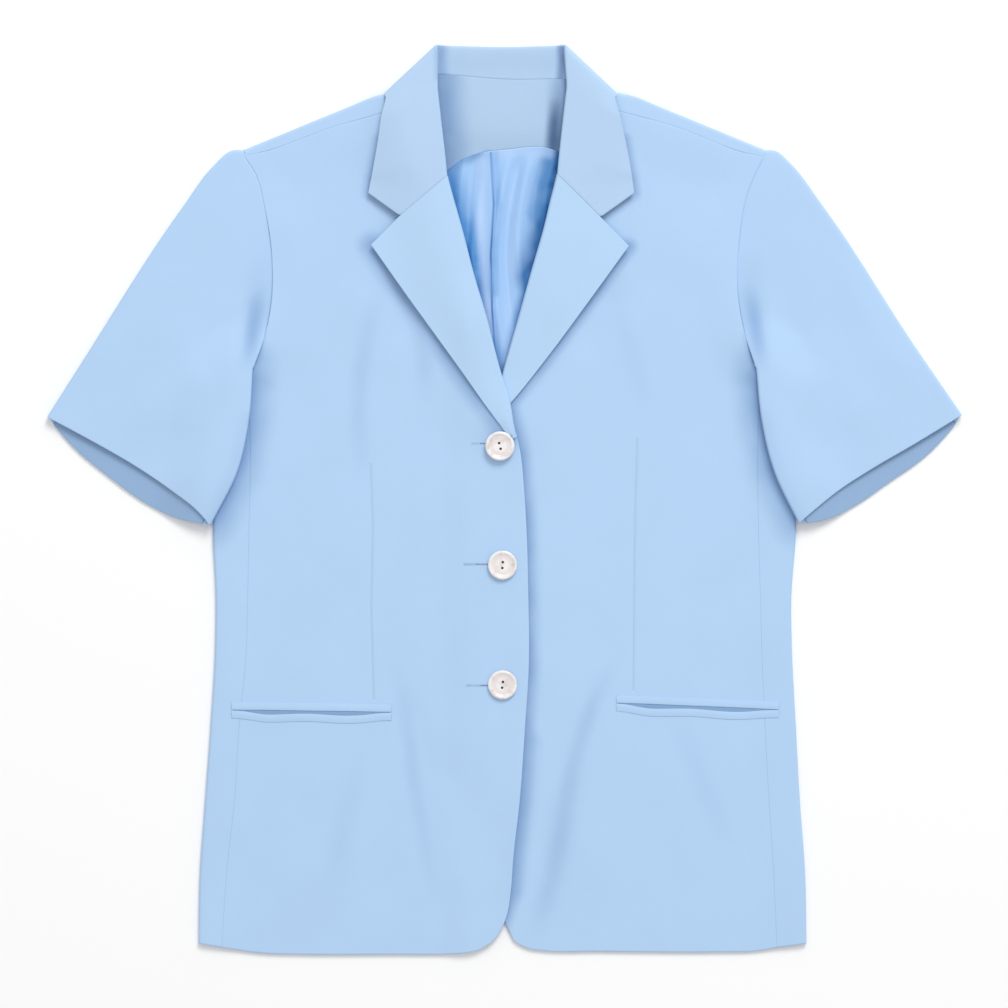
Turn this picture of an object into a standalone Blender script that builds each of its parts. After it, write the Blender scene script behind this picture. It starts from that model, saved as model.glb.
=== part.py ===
"""Short sleeve blazer, buttoned and laid flat on its back.

Sizes are in millimetres. Every point is (out, up): `out` is the distance from the centre
line towards the side seam, and `up` the height above the lowest point of the hem. The
collar lies at +Y, the wearer's right side at -X, and the back rests on Z = 0.
"""

import math
from collections import namedtuple

import bmesh
import bpy
import numpy as np

MM = 0.001
LENGTH = 687.7  # from the hem to the top of the collar

# Cloth walls, and the space left between pieces
WALL = 1.2  # pressed suiting with its fusing
THIN = 1.0  # lining, facing and pocket welts
GAP = 0.3
SEAM = 0.2  # each piece stops this far short of a seam line

# Heights of the middle of each wall above the surface the blazer lies on
BACK_Z = WALL / 2
FRONT_Z = 2.4
NECK_Z = 6.0  # fronts at the neck seam and along the roll line
COLLAR_STAND_Z = 3.7
LEAF_RISE = 1.9  # collar and lapels above what they lie on
THIN_RISE = WALL / 2 + GAP + THIN / 2 + 0.2
SIDE_RADIUS = 1.8  # soft folds at the sides, and along the top of the sleeves
LOW_SLEEVE_RADIUS = 1.2
SLEEVE_LIFT = 5.3  # the sleeve lies over the side of the body
ROLL_RADIUS = 1.75  # roll of the lapels
ROLL_INSET = 3.0  # the front's inner edge stays this far inside the roll line

# How the fronts come down from a border: rise at the border, level part, and way down
Slope = namedtuple("Slope", "rise level run")
BY_SIDE = Slope(SIDE_RADIUS, 0, 38)
BY_ARMHOLE = Slope(1.4, 4, 30)
BY_SHOULDER = Slope(1.5, 2, 40)
BY_NECK = Slope(NECK_Z - FRONT_Z, 12, 52)
BREAK_DROP = 1.3  # the roll line is this much lower at the top button than at the neck
OVERLAP_RISE = WALL + GAP + 0.4
BREAK_RISE = 1.7
LIFTED_EDGE = 1.5  # the top front's edge lifts a little above the hem
SLEEVE_SLOPE = Slope(SLEEVE_LIFT, 4, 40)
LEAF_CROWN = 0.5

BUTTON_RADIUS = 11.1
BUTTON_THICKNESS = 3.0
BUTTON_SIDES = 28
HOLE_RADIUS = 1.0
HOLE_SPACING = 4.4
HOLE_SIDES = 10

CLOTH = (0.49, 0.66, 0.89, 1.0)
LINING = (0.36, 0.57, 0.91, 1.0)
SHELL = (0.83, 0.80, 0.79, 1.0)

Level = namedtuple("Level", "up fold seam")
Station = namedtuple("Station", "roll outer")
Side = namedtuple(
    "Side",
    "name sign levels armhole shoulder_seam neck_seam front_edge hem lapel_roll lapel_edge"
    " sleeve_top sleeve_low cuff_front cuff_back pocket collar",
)

# The side that buttons on top: the wearer's right
OVER = Side(
    name="over",
    sign=-1,
    levels=[
        Level(8, 231.5, 214.0),
        Level(60, 230.5, 210.5),
        Level(116, 226.5, 204.5),
        Level(171, 222.5, 201.0),
        Level(230, 219.0, 195.5),
        Level(270, 218.5, 194.5),
        Level(321, 220.5, 193.5),
        Level(381, 217.5, 192.5),
        Level(424, 211.0, 194.0),
    ],
    armhole=[(190, 443), (183.5, 460), (177, 487), (175.5, 522), (180.5, 561), (189, 592), (197, 604)],
    shoulder_seam=[(197, 604), (178.5, 608), (155, 616.5), (132, 625), (94, 635.5), (69, 642)],
    neck_seam=[(69, 642), (60, 620), (53, 600), (49.5, 587)],
    front_edge=[
        (11, 8.5), (6, 13.5), (2, 20), (-1, 27), (-5, 50), (-6.5, 71), (-11.5, 116),
        (-15.5, 171), (-18.5, 220), (-18, 276), (-17, 315), (-15, 350), (-12, 380), (-6, 405),
    ],
    hem=[(214, 5.2), (184, 0.9), (155, 0), (80, 0), (49, 0), (33.5, 0.8), (20.5, 3.2), (11, 8.5)],
    lapel_roll=[(43, 586.5), (36.5, 565), (30, 541.5), (23.5, 516), (14, 484), (2, 438), (-6.5, 407)],
    lapel_edge=[(101, 536.5), (74.5, 499), (37.5, 448), (4, 408)],
    sleeve_top=[(198.5, 608.5), (205, 608.5), (220, 596.5), (242.5, 566.5), (321.5, 445), (346, 406.5)],
    sleeve_low=[(190, 443.5), (193, 404), (201, 367), (222, 324.5)],
    cuff_front=[(346, 406.5), (312.5, 388.5), (279.5, 369.5), (250, 349.5), (233.5, 337), (222, 324.5)],
    cuff_back=[(346, 406), (324, 381.5), (298.5, 360.5), (273, 342), (252.5, 331.5), (222, 324)],
    pocket=[(206.5, 184.8), (85.5, 183)],
    collar=[
        Station((43, 587.2), (103, 575.5)),
        Station((44.5, 603), (99, 596)),
        Station((47.5, 629), (95.5, 616)),
        Station((50.5, 656), (93, 634)),
    ],
)

# The side that buttons underneath: the wearer's left
UNDER = Side(
    name="under",
    sign=1,
    levels=[
        Level(8, 228.5, 206.0),
        Level(60, 227.5, 203.5),
        Level(116, 223.5, 200.0),
        Level(171, 220.5, 197.0),
        Level(230, 217.5, 194.5),
        Level(270, 217.0, 193.5),
        Level(321, 220.5, 192.0),
        Level(381, 217.5, 191.5),
        Level(424, 210.0, 193.5),
    ],
    armhole=[(190, 443), (181, 471), (176, 502), (177, 536), (184, 577), (196, 603.5)],
    shoulder_seam=[(196, 603.5), (178.5, 607), (155, 616), (132, 625), (94, 635.5), (64, 642)],
    neck_seam=[(64, 642), (56, 620), (49.5, 600), (46, 587)],
    front_edge=[
        (7, 10.5), (0.5, 24), (-8, 43), (-16, 70), (-21, 105), (-22.5, 140), (-22.5, 240),
        (-22.5, 340), (-20, 400),
    ],
    hem=[(206, 5.2), (190, 2.4), (165, 1.8), (72, 2.2), (30, 2.6), (20, 3.8), (12, 6.8), (7, 10.5)],
    lapel_roll=[(39.5, 587.5), (37, 584), (30, 551), (20, 516), (10, 480), (1, 449), (-5, 427)],
    lapel_edge=[(94, 535.5), (67.5, 499), (28.5, 446.5), (5.5, 418), (1, 413)],
    sleeve_top=[(197.5, 608), (204, 608.5), (215.5, 599), (240.5, 566.5), (310, 460.5), (346, 408)],
    sleeve_low=[(190, 443.5), (194, 404), (203.5, 365), (222, 326)],
    cuff_front=[(346, 408), (310, 386), (277.5, 367), (250, 349), (235, 337), (222, 326)],
    cuff_back=[(346, 406), (319.5, 377.5), (289.5, 356), (264, 338.5), (245.5, 329.5), (222, 325)],
    pocket=[(207.5, 185), (84.5, 190)],
    collar=[
        Station((39.5, 588.2), (98, 575.5)),
        Station((41, 604), (95, 596)),
        Station((44, 632), (91, 616)),
        Station((47, 658), (87, 634)),
    ],
)

SIDES = (OVER, UNDER)
SHOULDER_TIP = (197.5, 608.3)  # shoulder fold, where the sleeve begins
SHOULDER_FOLD = [SHOULDER_TIP, (112, 643.3), (89, 649.8), (69, 654.6)]
NECK_TURN = {"over": (69, 654.6), "under": (64, 654.6)}
COLLAR_CORNER = {"over": (51.9, 687.6), "under": (46.5, 687.6)}
LEAF_FOLD = {"over": (89, 653), "under": (83, 653)}  # where the leaf passes to the back
COLLAR_BACK_DIP = 1.3  # the collar's top edge dips this much in the middle
CORNER_SLIDE = (3.0, -1.0)  # the roll slides along the leaf's fold as it turns to the back
NECK_CLEARANCE = (2.6, -1.5)  # the stand keeps this far from the shoulder strips
NECK_SEAM_SPACE = 0.9
STAND_SLANT = 10.0  # the stand's seam runs this much lower than its roll at the shoulder
NECK_SPREAD = 1.2  # the stand is this much wider at its seam than at its roll
STAND_SHARES = (0.93, 0.65, 0.3)  # sections behind the neck, as shares of the way to a corner
FALL_DEPTH = 54.0  # of the leaf behind the neck
NECKLINE_UP, NECKLINE_BOW = 657.5, 2.5
KNEE = 0.39  # place of the notch along the end of the collar
NOTCH = {"over": (79, 558.2), "under": (72.5, 557.2)}
FACING_EDGE = [(-51, 587), (-43, 593), (-30, 602), (-14, 607), (3, 609), (30, 610.5), (49, 604)]
STAND_SEAM = [(-61, 665.5), (-51, 665.5), (3, 661.5), (46, 662), (56, 662)]
PLEAT = [(-5, 424), (-7, 455), (-9.5, 488), (-10.5, 529), (-8, 567), (-10.5, 606)]
PLEAT_RISE = 1.2
PLEAT_STEP = 1.0  # width over which the lining drops at the pleat
GATHER = 0.35
GATHER_PITCH = 4.2
LINING_FOOT, LINING_HEAD = 424, 603
LINING_MARGIN = 8.0  # the lining passes this far under the lapels
BACK_HEM_RISE = 20.5
BACK_SEAM_INSET = 45.0  # of the seams between the back and the side panels, which are hidden
BODY_SHARE = 0.66  # rows of the back below the armholes
FRONT_SHARE = 0.65
SHOULDER_STEPS, NECK_STEPS = 6, 4
SHOULDER_OUT = (0.36, 0.93)  # direction square to the shoulder folds
ACROSS_FRONT = (0, 0.1, 0.2, 0.3, 0.4, 0.5, 0.6, 0.7, 0.78, 0.85, 0.9, 0.94, 0.97, 1)
ARMHOLE_STEPS = 11
SLEEVE_SPLIT = 5  # steps up the armhole to where the sleeve's first section ends
WELT_HEIGHT = 6.3
WELT_SPACE = 0.5
SEAM_SHARES = (0, 0.012, 0.03, 0.05, 0.09, 0.15, 0.22, 0.3, 0.38, 0.46, 0.54, 0.62, 0.7, 0.78, 0.86, 0.93, 1)
BUTTONS = [(-3.5, 384.5), (-1.5, 294.5), (-1.5, 204.0)]


# Curves ---------------------------------------------------------------------------------


def curve(points, steps=16):
    """A smooth line through the points, as a dense row of points."""
    known = np.array(points, float)
    if len(known) == 2:
        return known
    padded = np.vstack([2 * known[0] - known[1], known, 2 * known[-1] - known[-2]])
    dense = []
    for a, b, c, d in zip(padded, padded[1:], padded[2:], padded[3:]):
        for t in np.arange(steps) / steps:
            slope_b, slope_c = tangent(a, b, c), tangent(b, c, d)
            length = np.linalg.norm(c - b)
            dense.append(
                (2 * t**3 - 3 * t**2 + 1) * b
                + (t**3 - 2 * t**2 + t) * length * slope_b
                + (3 * t**2 - 2 * t**3) * c
                + (t**3 - t**2) * length * slope_c
            )
    return np.array(dense + [known[-1]])


def tangent(before, here, after):
    """Direction at a point, weighted towards its nearer neighbour."""
    back, ahead = here - before, after - here
    near, far = np.linalg.norm(back), np.linalg.norm(ahead)
    return (back / near * far + ahead / far * near) / (near + far)


def along(line, fractions):
    """Points at fractions of the length of a dense line."""
    steps = np.linalg.norm(np.diff(line, axis=0), axis=1)
    run = np.concatenate([[0], np.cumsum(steps)])
    wanted = np.asarray(fractions) * run[-1]
    return np.column_stack([np.interp(wanted, run, line[:, axis]) for axis in range(2)])


def joined(*parts):
    return np.vstack(parts)


def out_at(line, up):
    """How far out a line lies at a height."""
    ordered = line[np.argsort(line[:, 1])]
    return float(np.interp(up, ordered[:, 1], ordered[:, 0]))


def up_at(line, out):
    """How high a line lies at a distance out."""
    ordered = line[np.argsort(line[:, 0])]
    return float(np.interp(out, ordered[:, 0], ordered[:, 1]))


def smooth(value):
    value = min(max(value, 0.0), 1.0)
    return value * value * (3 - 2 * value)


def unit(vector):
    return np.array(vector) / np.linalg.norm(vector)


def distance_to(line, point):
    starts, runs = line[:-1], np.diff(line, axis=0)
    share = np.clip(((point - starts) * runs).sum(1) / (runs**2).sum(1), 0, 1)
    return float(np.linalg.norm(starts + runs * share[:, None] - point, axis=1).min())


def patch(left, right, bottom, top, us, vs):
    """Points filling four edges that meet at their corners: one row for each of vs."""
    u = np.asarray(us)[:, None]
    low, high = (1 - u) * left[0] + u * right[0], (1 - u) * left[-1] + u * right[-1]
    rows = []
    for row, v in enumerate(vs):
        sideways = (1 - u) * left[row] + u * right[row]
        upward = (1 - v) * bottom + v * top
        rows.append(sideways + upward - (1 - v) * low - v * high)
    return rows


# Heights of the layers --------------------------------------------------------------------


class Lines:
    """The dense curves of one side, worked out once."""

    def __init__(self, side):
        self.fold = curve([(level.fold, level.up) for level in side.levels])
        seam = [side.hem[0]] + [(level.seam, level.up) for level in side.levels[1:]]
        self.seam = joined(curve(seam), [side.armhole[0]])
        self.armhole = along(curve(side.armhole), np.linspace(0, 1, ARMHOLE_STEPS + 1))
        self.shoulder = curve(side.shoulder_seam)
        self.neck = curve(side.neck_seam)
        self.roll = curve(side.lapel_roll)
        self.front_edge = curve(side.front_edge)
        self.hem = curve(side.hem)
        self.inner = joined(self.roll[::-1], self.neck[::-1])
        self.body_side = joined([side.armhole[0]], self.fold[::-1])


LINES = {side.name: Lines(side) for side in SIDES}


def slope(shape, reach):
    """Height of a slope at a distance from its border."""
    return shape.rise * (1 - smooth((reach - shape.level) / shape.run))


def back_height(out, up):
    """Middle of the back's wall: it rises over the fall of the collar behind the neck."""
    over_collar = smooth((up - 597) / 28) * (1 - smooth((abs(out) - 98) / 34))
    return BACK_Z + (WALL + GAP) * over_collar


def front_height(side, out, up):
    """Middle of the wall of a front, of the side panel beside it and of the shoulder."""
    lines = LINES[side.name]
    parts = [slope(BY_SIDE, out_at(lines.fold, up) - fold_inset() - out)]
    if up > 350:
        fade = smooth((up - 372) / 36)
        drop = BREAK_DROP * (1 - smooth((up - 420) / 80))
        shape = BY_NECK._replace(rise=BY_NECK.rise - drop)
        parts.append(fade * slope(shape, out - out_at(lines.inner, up)))
    if up > 420:
        reach = distance_to(lines.armhole, np.array([out, up]))
        parts.append(smooth((up - 420) / 40) * slope(BY_ARMHOLE, reach))
    if up > 540:
        parts.append(slope(BY_SHOULDER, up_at(lines.shoulder, out) - up))
    height = FRONT_Z + sum(part**4 for part in parts) ** 0.25
    return height + overlap_rise(out, up) if side is OVER else height


def overlap_rise(out, up):
    """The top front climbs over the hidden edge of the other, and over its lapel."""
    over_front = OVERLAP_RISE * smooth((50 - out) / 24) * (1 - smooth((up - 470) / 50))
    over_break = smooth((up - 383) / 24) * (1 - smooth((up - 440) / 60))
    at_break = BREAK_RISE * smooth((40 - out) / 30) * over_break
    lifted_edge = LIFTED_EDGE * math.exp(-(((up - 105) / 45) ** 2)) * smooth((20 - out) / 35)
    return over_front + at_break + lifted_edge


def leaf_height(side, out, up, share):
    """Middle of the wall of a lapel or of the collar, lying on the front."""
    return front_height(side, out, up) + LEAF_RISE + LEAF_CROWN * math.sin(math.pi * share)


def fold_inset():
    return WALL / 2 + SIDE_RADIUS


def sleeve_lift(side, out, up):
    """Rise of the sleeve's lower layer where it passes over the side of the body."""
    body_side = LINES[side.name].body_side
    if up < side.armhole[0][1] and out < out_at(body_side, up):
        return SLEEVE_LIFT
    return slope(SLEEVE_SLOPE, distance_to(body_side, np.array([out, up])))


# Objects -----------------------------------------------------------------------------------


def clear_scene():
    for old in list(bpy.data.objects):
        bpy.data.objects.remove(old, do_unlink=True)


def material(name, colour, roughness):
    made = bpy.data.materials.get(name)
    if made is None:
        made = bpy.data.materials.new(name)
        made.use_nodes = True
        shader = made.node_tree.nodes["Principled BSDF"]
        shader.inputs["Base Color"].default_value = colour
        shader.inputs["Roughness"].default_value = roughness
        shader.inputs["Metallic"].default_value = 0.0
    return made


def cloth(name, grids, sign, wall=WALL, look=("suiting", CLOTH, 0.75)):
    """A wall of cloth about the middle surface given by grids of (out, up, z) points."""
    mesh = bpy.data.meshes.new(name)
    build = bmesh.new()
    known = {}

    def corner(point):
        key = tuple(round(float(value), 3) for value in point)
        if key not in known:
            out, up, z = point
            known[key] = build.verts.new((sign * out * MM, (up - LENGTH / 2) * MM, z * MM))
        return known[key]

    for grid in grids:
        for lower, upper in zip(grid, grid[1:]):
            for col in range(len(lower) - 1):
                spots = (lower[col], lower[col + 1], upper[col + 1], upper[col])
                corners = [corner(spot) for spot in spots]
                corners = list(dict.fromkeys(corners))
                if len(corners) > 2:
                    build.faces.new(corners)
    bmesh.ops.recalc_face_normals(build, faces=build.faces)
    build.to_mesh(mesh)
    build.free()
    obj = bpy.data.objects.new(name, mesh)
    bpy.context.collection.objects.link(obj)
    obj.data.materials.append(material(*look))
    thicken = obj.modifiers.new("wall", "SOLIDIFY")
    thicken.thickness = wall * MM
    thicken.offset = 0
    thicken.use_even_offset = True
    thicken.use_rim = True
    return obj


def rise(points, height):
    """Adds to each (out, up) point the height that a function gives for it."""
    return [[(out, up, height(out, up)) for out, up in row] for row in points]


def turn_angles(steps):
    return [math.pi * step / steps for step in range(1, steps)]


# Body -----------------------------------------------------------------------------------------


def back_hem(out):
    return 8.5 + BACK_HEM_RISE * (1 - (out / 230) ** 2)


def back_seam(side, up):
    return out_at(LINES[side.name].fold, up) - BACK_SEAM_INSET


def shoulder_strips(side):
    """Sections of the shoulder: centre of its fold, its seam with the front, and two heights."""
    places = np.linspace(0, 1, SHOULDER_STEPS + 1)
    fold = along(curve(SHOULDER_FOLD[:-1] + [NECK_TURN[side.name]]), places)
    normal = unit(SHOULDER_OUT)
    strips = []
    for point, seam in zip(fold, along(LINES[side.name].shoulder, places)):
        high = front_height(side, *seam)
        low = back_height(*(point - normal * 2 * WALL))
        centre = point - normal * (WALL + high - low) / 2
        strips.append((centre, seam + normal * SEAM, low, high))
    return strips


def back_edge(side, strips):
    """Outer edge of the back: its seam with the side panel, then the armhole."""
    foot, head = side.levels[0].up, side.levels[-1].up
    points = []
    for share in SEAM_SHARES:
        level = foot + share * (head - foot)
        out = back_seam(side, level)
        points.append((out - SEAM, level + (1 - share) * (back_hem(out) - foot)))
    armhole = LINES[side.name].armhole[1:] - np.array([SEAM, 0])
    return joined(points, armhole[:-1], strips[0][0])


def make_back():
    """One panel on the fold, whose shoulders pass round to the front."""
    strips = {side.name: shoulder_strips(side) for side in SIDES}
    left = back_edge(OVER, strips["over"]) * np.array([-1, 1])
    right = back_edge(UNDER, strips["under"])
    top_left = np.array([centre * (-1, 1) for centre, *_ in strips["over"]])
    top_right = np.array([centre for centre, *_ in strips["under"]])[::-1]
    steps = np.linspace(0, 1, NECK_STEPS + 1)[1:-1]
    outs = top_left[-1][0] + (top_right[0][0] - top_left[-1][0]) * steps
    neckline = np.column_stack([outs, NECKLINE_UP + NECKLINE_BOW * np.sin(math.pi * steps)])
    top = joined(top_left, neckline, top_right)
    us = (top[:, 0] - top[0, 0]) / (top[-1, 0] - top[0, 0])
    hem_outs = left[0][0] + (right[0][0] - left[0][0]) * us
    bottom = np.column_stack([hem_outs, back_hem(hem_outs)])
    vs = np.concatenate([np.array(SEAM_SHARES) * BODY_SHARE, np.linspace(BODY_SHARE, 1, ARMHOLE_STEPS + 1)[1:]])
    panel = rise(patch(left, right, bottom, top, us, vs), back_height)
    grids = [panel]
    for side in SIDES:
        strip_grid = []
        for place, (centre, seam, low, high) in enumerate(strips[side.name]):
            column = [(*centre, low)]
            for angle in turn_angles(4):
                spot = centre + unit(SHOULDER_OUT) * (high - low) / 2 * math.sin(angle)
                column.append((*spot, (low + high) / 2 - (high - low) / 2 * math.cos(angle)))
            column += [(*(centre + (seam - centre) * share), high) for share in (0, 0.5, 1)]
            strip_grid.append([(side.sign * out, up, z) for out, up, z in column])
            panel[-1][place if side is OVER else -1 - place] = strip_grid[-1][0]
        grids.append(strip_grid)
    cloth("back", grids, 1)


def make_side(side):
    """Side panel, from its seam with the front round the side to its seam with the back."""
    lines = LINES[side.name]
    foot, head = side.levels[0].up, side.levels[-1].up
    rows = []
    for v, seam in zip(SEAM_SHARES, along(lines.seam, SEAM_SHARES)):
        level = foot + v * (head - foot)
        start = out_at(lines.fold, level) - fold_inset()
        row = []
        for share in (0, 0.5, 1):
            out = seam[0] + SEAM + (start - seam[0] - SEAM) * share
            up = seam[1] + (level - seam[1]) * share
            row.append((out, up, front_height(side, out, up)))
        for angle in turn_angles(5):
            reach, down = SIDE_RADIUS * math.sin(angle), SIDE_RADIUS * math.cos(angle)
            row.append((start + reach, level, BACK_Z + SIDE_RADIUS + down))
        inner = back_seam(side, level) + SEAM
        for share in (0, 0.5, 1):
            out = start + (inner - start) * share
            row.append((out, level + (1 - v) * (back_hem(out) - foot), BACK_Z))
        rows.append(row)
    cloth("side_" + side.name, [rows], side.sign)


def make_front(side):
    lines = LINES[side.name]
    below = np.array(SEAM_SHARES)
    above = np.linspace(0, 1, ARMHOLE_STEPS + 1)[1:]
    vs = np.concatenate([below * FRONT_SHARE, FRONT_SHARE + above * (1 - FRONT_SHARE)])
    us = np.array(ACROSS_FRONT)
    left = joined(along(lines.seam, below), lines.armhole[1:])
    left[:, 0] -= SEAM
    roll = along(lines.roll[::-1] + np.array([ROLL_INSET, 0]), np.linspace(0, 0.93, 7))
    neck = along(lines.neck[::-1] + np.array([SEAM, 0]), np.linspace(0, 1, 5))
    right = joined(along(joined(lines.front_edge, roll[:1]), below), roll[1:], neck)
    bottom = along(lines.hem, us)
    top = along(lines.shoulder, us) - np.array([0, SEAM])
    bottom[0], bottom[-1], top[0], top[-1] = left[0], right[0], left[-1], right[-1]
    points = patch(left, right, bottom, top, us, vs)
    cloth("front_" + side.name, [rise(points, lambda out, up: front_height(side, out, up))], side.sign)


# Neck -------------------------------------------------------------------------------------------


def make_lapel(side):
    """Turned lapel: it lies on the front, and rolls round the front's inner edge."""
    lines = LINES[side.name]
    rows = []
    edge = curve(side.lapel_edge)
    shares = np.linspace(0, 1, 12)
    notch = np.array(NOTCH[side.name])
    for share, roll, outer in zip(shares, along(lines.roll, shares), along(edge, shares)):
        into = unit(outer - roll)
        start = roll + into * (WALL / 2 + ROLL_RADIUS)
        knee = outer + (start - outer) * KNEE
        if share == 0:
            knee = notch - np.array([0, SEAM])
            start = start - np.array([0, SEAM])
        row = []
        for place in (0, 0.5, 1, 1.4, 1.8, 2.2, 2.6, 3):
            spot = outer + (knee - outer) * place if place <= 1 else knee + (start - knee) * (place - 1) / 2
            row.append((spot[0], spot[1], leaf_height(side, spot[0], spot[1], place / 3)))
        middle = row[-1][2] - ROLL_RADIUS
        sweep = math.radians(180 - 75 * smooth((share - 0.55) / 0.4))
        for step in range(1, 6):
            angle = sweep * step / 5
            spot = start - into * ROLL_RADIUS * math.sin(angle)
            row.append((spot[0], spot[1], middle + ROLL_RADIUS * math.cos(angle)))
        rows.append(row)
    cloth("lapel_" + side.name, [rows], side.sign)


def across(line):
    """Horizontal direction square to a line, away from the body."""
    square = unit(np.array([-line[1], line[0]]))
    return square if square[1] > 0 else -square


def leaf_fold(side, turn):
    """Axis of the leaf's fold over the shoulder: its end at the roll, at the edge, and across."""
    corner, outer = np.array(COLLAR_CORNER[side.name]), np.array(LEAF_FOLD[side.name])
    outward = across(outer - corner)
    slide = CORNER_SLIDE[0] + (CORNER_SLIDE[1] - CORNER_SLIDE[0]) * turn / math.pi
    inset = outward * (WALL + NECK_Z + LEAF_RISE - BACK_Z) / 2
    return corner - inset + unit(outer - corner) * slide, outer - inset, outward


def stand_seam(side, share):
    """Point of the seam between the stand and the facing, at a share of the way to a corner."""
    out = leaf_fold(side, math.pi)[0][0] * share * NECK_SPREAD
    return np.array([out, up_at(curve(STAND_SEAM), side.sign * out)])


def leaf_points(outer_end, leaf_end, knee=None):
    """Points of the leaf from its edge to the roll; a given knee holds the notch."""
    if knee is None:
        knee = outer_end + (leaf_end - outer_end) * KNEE
    points = [outer_end, (outer_end + knee) / 2, knee]
    return points + [knee + (leaf_end - knee) * part for part in (0.25, 0.5, 0.75, 1)]


def section(leaf, stand_start, stand_end, bulge):
    """Leaf, roll and stand in one row: the roll is half a circle between the two."""
    middle, half = (leaf[-1] + stand_start) / 2, (leaf[-1] - stand_start) / 2
    row = list(leaf)
    for angle in turn_angles(5):
        side_step = np.array([*bulge, 0]) * np.linalg.norm(half) * math.sin(angle)
        row.append(middle + half * math.cos(angle) + side_step)
    return [tuple(spot) for spot in row + [stand_start, (stand_start + stand_end) / 2, stand_end]]


def front_section(side, station, notched):
    """The collar on the front: both of its layers are level there."""
    roll, outer = np.array(station.roll, float), np.array(station.outer, float)
    start = roll + np.array([(WALL + LEAF_RISE) / 2, 0])
    knee = None
    if notched:
        knee = np.array([*NOTCH[side.name], 0]) + np.array([0, SEAM, 0])
    leaf = leaf_points(np.array([*outer, 0]), np.array([*start, 0]), knee)
    for place, spot in enumerate(leaf):
        spot[2] = leaf_height(side, spot[0], spot[1], place / (len(leaf) - 1))
    stand_start = leaf[-1] - np.array([0, 0, LEAF_RISE])
    first, last = side.collar[0].roll[1], side.collar[-1].roll[1]
    up = roll[1] - STAND_SLANT * (roll[1] - first) / (last - first)
    neck = out_at(LINES[side.name].neck, up) - NECK_SEAM_SPACE
    return section(leaf, stand_start, np.array([neck, up, NECK_Z]), (-1, 0))


def turned_section(side, turn):
    """The collar where it passes round the shoulder fold, from the front to the back."""
    hub, edge, leaf_out = leaf_fold(side, turn)
    top = NECK_Z + LEAF_RISE
    leaf_radius = (top - BACK_Z) / 2
    neck = np.array(NECK_TURN[side.name]) - np.array(NECK_CLEARANCE)
    stand_out, stand_radius = across(neck - hub), (NECK_Z - COLLAR_STAND_Z) / 2
    stand_hub = hub + leaf_out * (leaf_radius - LEAF_RISE - stand_radius)

    def swing(flat, outward, radius, middle):
        flat = flat + outward * radius * math.sin(turn)
        return np.array([*flat, middle + radius * math.cos(turn)])

    middle, stand_middle = (top + BACK_Z) / 2, (NECK_Z + COLLAR_STAND_Z) / 2
    leaf = leaf_points(swing(edge, leaf_out, leaf_radius, middle), swing(hub, leaf_out, leaf_radius, middle))
    stand_start = swing(stand_hub, leaf_out, stand_radius, stand_middle)
    stand_end = swing(neck - stand_out * stand_radius, stand_out, stand_radius, stand_middle)
    return section(leaf, stand_start, stand_end, (-math.cos(turn / 2), math.sin(turn / 2)))


def back_section(side, share):
    """The collar behind the neck: the stand lies on top, and the leaf under the back."""
    hub, edge, _ = leaf_fold(side, math.pi)
    top = hub[1] - COLLAR_BACK_DIP * (1 - share)
    bottom = LENGTH - FALL_DEPTH + (edge[1] - LENGTH + FALL_DEPTH) * share**2
    leaf = leaf_points(np.array([edge[0] * share, bottom, BACK_Z]), np.array([hub[0] * share, top, BACK_Z]))
    seam = stand_seam(side, share) + np.array([0, SEAM])
    start = np.array([hub[0] * share, top, COLLAR_STAND_Z])
    return section(leaf, start, np.array([*seam, COLLAR_STAND_Z]), (0, 1))


def make_collar():
    """One collar: its leaf passes over the shoulders to the back, its stand shows inside."""
    rows = []
    for side in SIDES:
        half = [front_section(side, station, station is side.collar[0]) for station in side.collar]
        half += [turned_section(side, math.radians(turn)) for turn in (0, 45, 90, 135, 180)]
        half += [back_section(side, share) for share in STAND_SHARES]
        half = [[(side.sign * out, up, z) for out, up, z in row] for row in half]
        rows = rows + half if side is OVER else rows + half[::-1]
    cloth("collar", [rows], 1)


def make_facing():
    """Back neck facing, between the collar and the lining."""
    upper = [stand_seam(OVER, share) * (-1, 1) for share in STAND_SHARES]
    upper += [stand_seam(UNDER, share) for share in STAND_SHARES[::-1]]
    between = [(a + b) / 2 for a, b in zip(upper, upper[1:])]
    upper = np.array(sorted([tuple(point) for point in upper + between])) - np.array([0, SEAM])
    us = (upper[:, 0] - upper[0, 0]) / (upper[-1, 0] - upper[0, 0])
    lower = along(curve(FACING_EDGE), us) + np.array([0, SEAM])
    rows = []
    for v in np.linspace(0, 1, 7):
        spots = lower + (upper - lower) * v
        rows.append([(out, up, back_height(out, up) + THIN_RISE) for out, up in spots])
    cloth("neck_facing", [rows], 1, wall=THIN)


def lining_height(out, up, pleat_out):
    """The lining's left half folds over the right at the pleat, with soft gathers beside it."""
    free = smooth((up - 455) / 40)
    pleat = PLEAT_RISE * smooth(1 + (out - pleat_out) / 14) if out <= pleat_out else 0.0
    waves = GATHER * (1 - math.cos((out - pleat_out) / GATHER_PITCH)) / 2
    return back_height(out, up) + THIN_RISE + free * (pleat + waves * smooth((out - pleat_out) / 6))


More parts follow.
